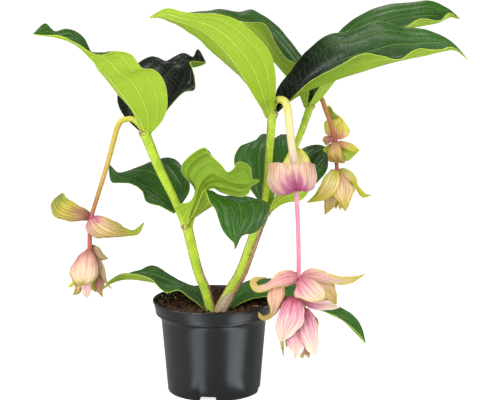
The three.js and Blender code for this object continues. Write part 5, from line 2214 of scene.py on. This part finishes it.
        ),
        Petal(
            Tint.GREEN,
            [(163, 58, 332), (159, 56, 327)],
            [(166, 57, 339), (160, 55, 335), (153, 53, 330)],
            [(163, 58, 339), (157, 56, 336)],
        ),
        Petal(
            Tint.FRILL,
            [(178, 56, 344), (191, 52, 341), (200, 52, 336)],
            [(173, 54, 342), (184, 50, 338), (193, 50, 335), (204, 52, 331)],
            [(177, 56, 337), (184, 52, 333), (194, 51, 329)],
        ),
        Petal(
            Tint.GREEN,
            [(180, 58, 335), (191, 55, 332)],
            [(174, 57, 338), (183, 54, 328), (192, 54, 324), (203, 54, 330)],
            [(177, 59, 330), (181, 57, 317), (189, 56, 316), (197, 55, 323)],
        ),
    ], slot="upper_bract"),
    Bloom("bloom_back_lower", (173, 54, 303), 6, [
        Petal(
            Tint.LIME,
            [(176, 52, 299), (179, 46, 287), (175, 42, 276), (160, 38, 265), (144, 36, 261)],
            [(171, 50, 303), (164, 40, 294), (158, 35, 282), (150, 34, 271), (140, 34, 264),
             (130, 34, 260)],
            [(164, 52, 303), (155, 44, 295), (149, 39, 284), (144, 37, 275), (137, 36, 266)],
        ),
        Petal(
            Tint.LIME,
            [(181, 56, 305), (192, 51, 302), (199, 47, 293), (202, 44, 282), (209, 44, 274),
             (215, 42, 270)],
            [(175, 54, 302), (183, 48, 299), (191, 44, 294), (197, 42, 286), (202, 41, 278), (209, 40, 270),
             (221, 40, 269)],
            [(177, 56, 297), (183, 51, 290), (191, 47, 285), (198, 44, 280), (202, 43, 273),
             (209, 41, 266)],
        ),
        Petal(
            Tint.SHELL,
            [(183, 50, 295), (192, 46, 284), (198, 44, 276), (192, 42, 263), (188, 41, 252)],
            [(178, 48, 299), (181, 40, 287), (182, 38, 274), (183, 38, 260), (184, 40, 246)],
            [(176, 50, 292), (175, 45, 280), (165, 45, 269), (173, 42, 260), (180, 41, 252)],
        ),
        Petal(
            Tint.SHELL,
            [(171, 59, 273), (174, 59, 258), (166, 56, 246)],
            [(165, 56, 282), (163, 55, 265), (161, 54, 251), (156, 52, 239)],
            [(156, 59, 276), (155, 58, 261), (156, 56, 248)],
        ),
        Petal(
            Tint.RUST,
            [(174, 62, 255), (174, 61, 250)],
            [(171, 60, 266), (172, 60, 256), (172, 59, 246)],
            [(170, 62, 255), (171, 61, 249)],
        ),
        Petal(
            Tint.SHELL,
            [(181, 60, 256), (180, 58, 249)],
            [(176, 58, 266), (178, 57, 255), (179, 56, 245)],
            [(175, 60, 256), (176, 58, 249)],
        ),
        Petal(
            Tint.CREAM,
            [(183, 60, 293), (189, 68, 277), (187, 69, 259)],
            [(175, 64, 300), (180, 72, 280), (179, 72, 262), (178, 69, 248)],
            [(168, 60, 293), (164, 66, 278), (170, 68, 259)],
            bulge=-0.2,
        ),
    ], buds=3, slot="upper_bract"),
]


def main() -> None:
    """Build every piece in order: the pot and soil, the stems and stalks, the leaves, the blooms."""
    effects = Effects.make()

    pot = Pot()
    pot.dress(pot.build(), PlasticFinish().make(effects))
    soil = Soil()
    soil.dress(soil.build(), effects)

    bark = BarkFinish().make(effects)
    for stem in STEMS:
        stem.dress(stem.build([bark] * len(stem.lengths)))
    for stalk, skins in STALKS:
        stalk.dress(stalk.build([skin.make(effects) for skin in skins]))

    upper, lower = UPPER_SIDE.make(effects), LOWER_SIDE.make(effects)
    for leaf in LEAVES:
        leaf.dress(leaf.build(), upper, lower)
    for bloom in BLOOMS:
        bloom.dress(bloom.build(effects))

    Studio().build()


if __name__ == "__main__":
    main()
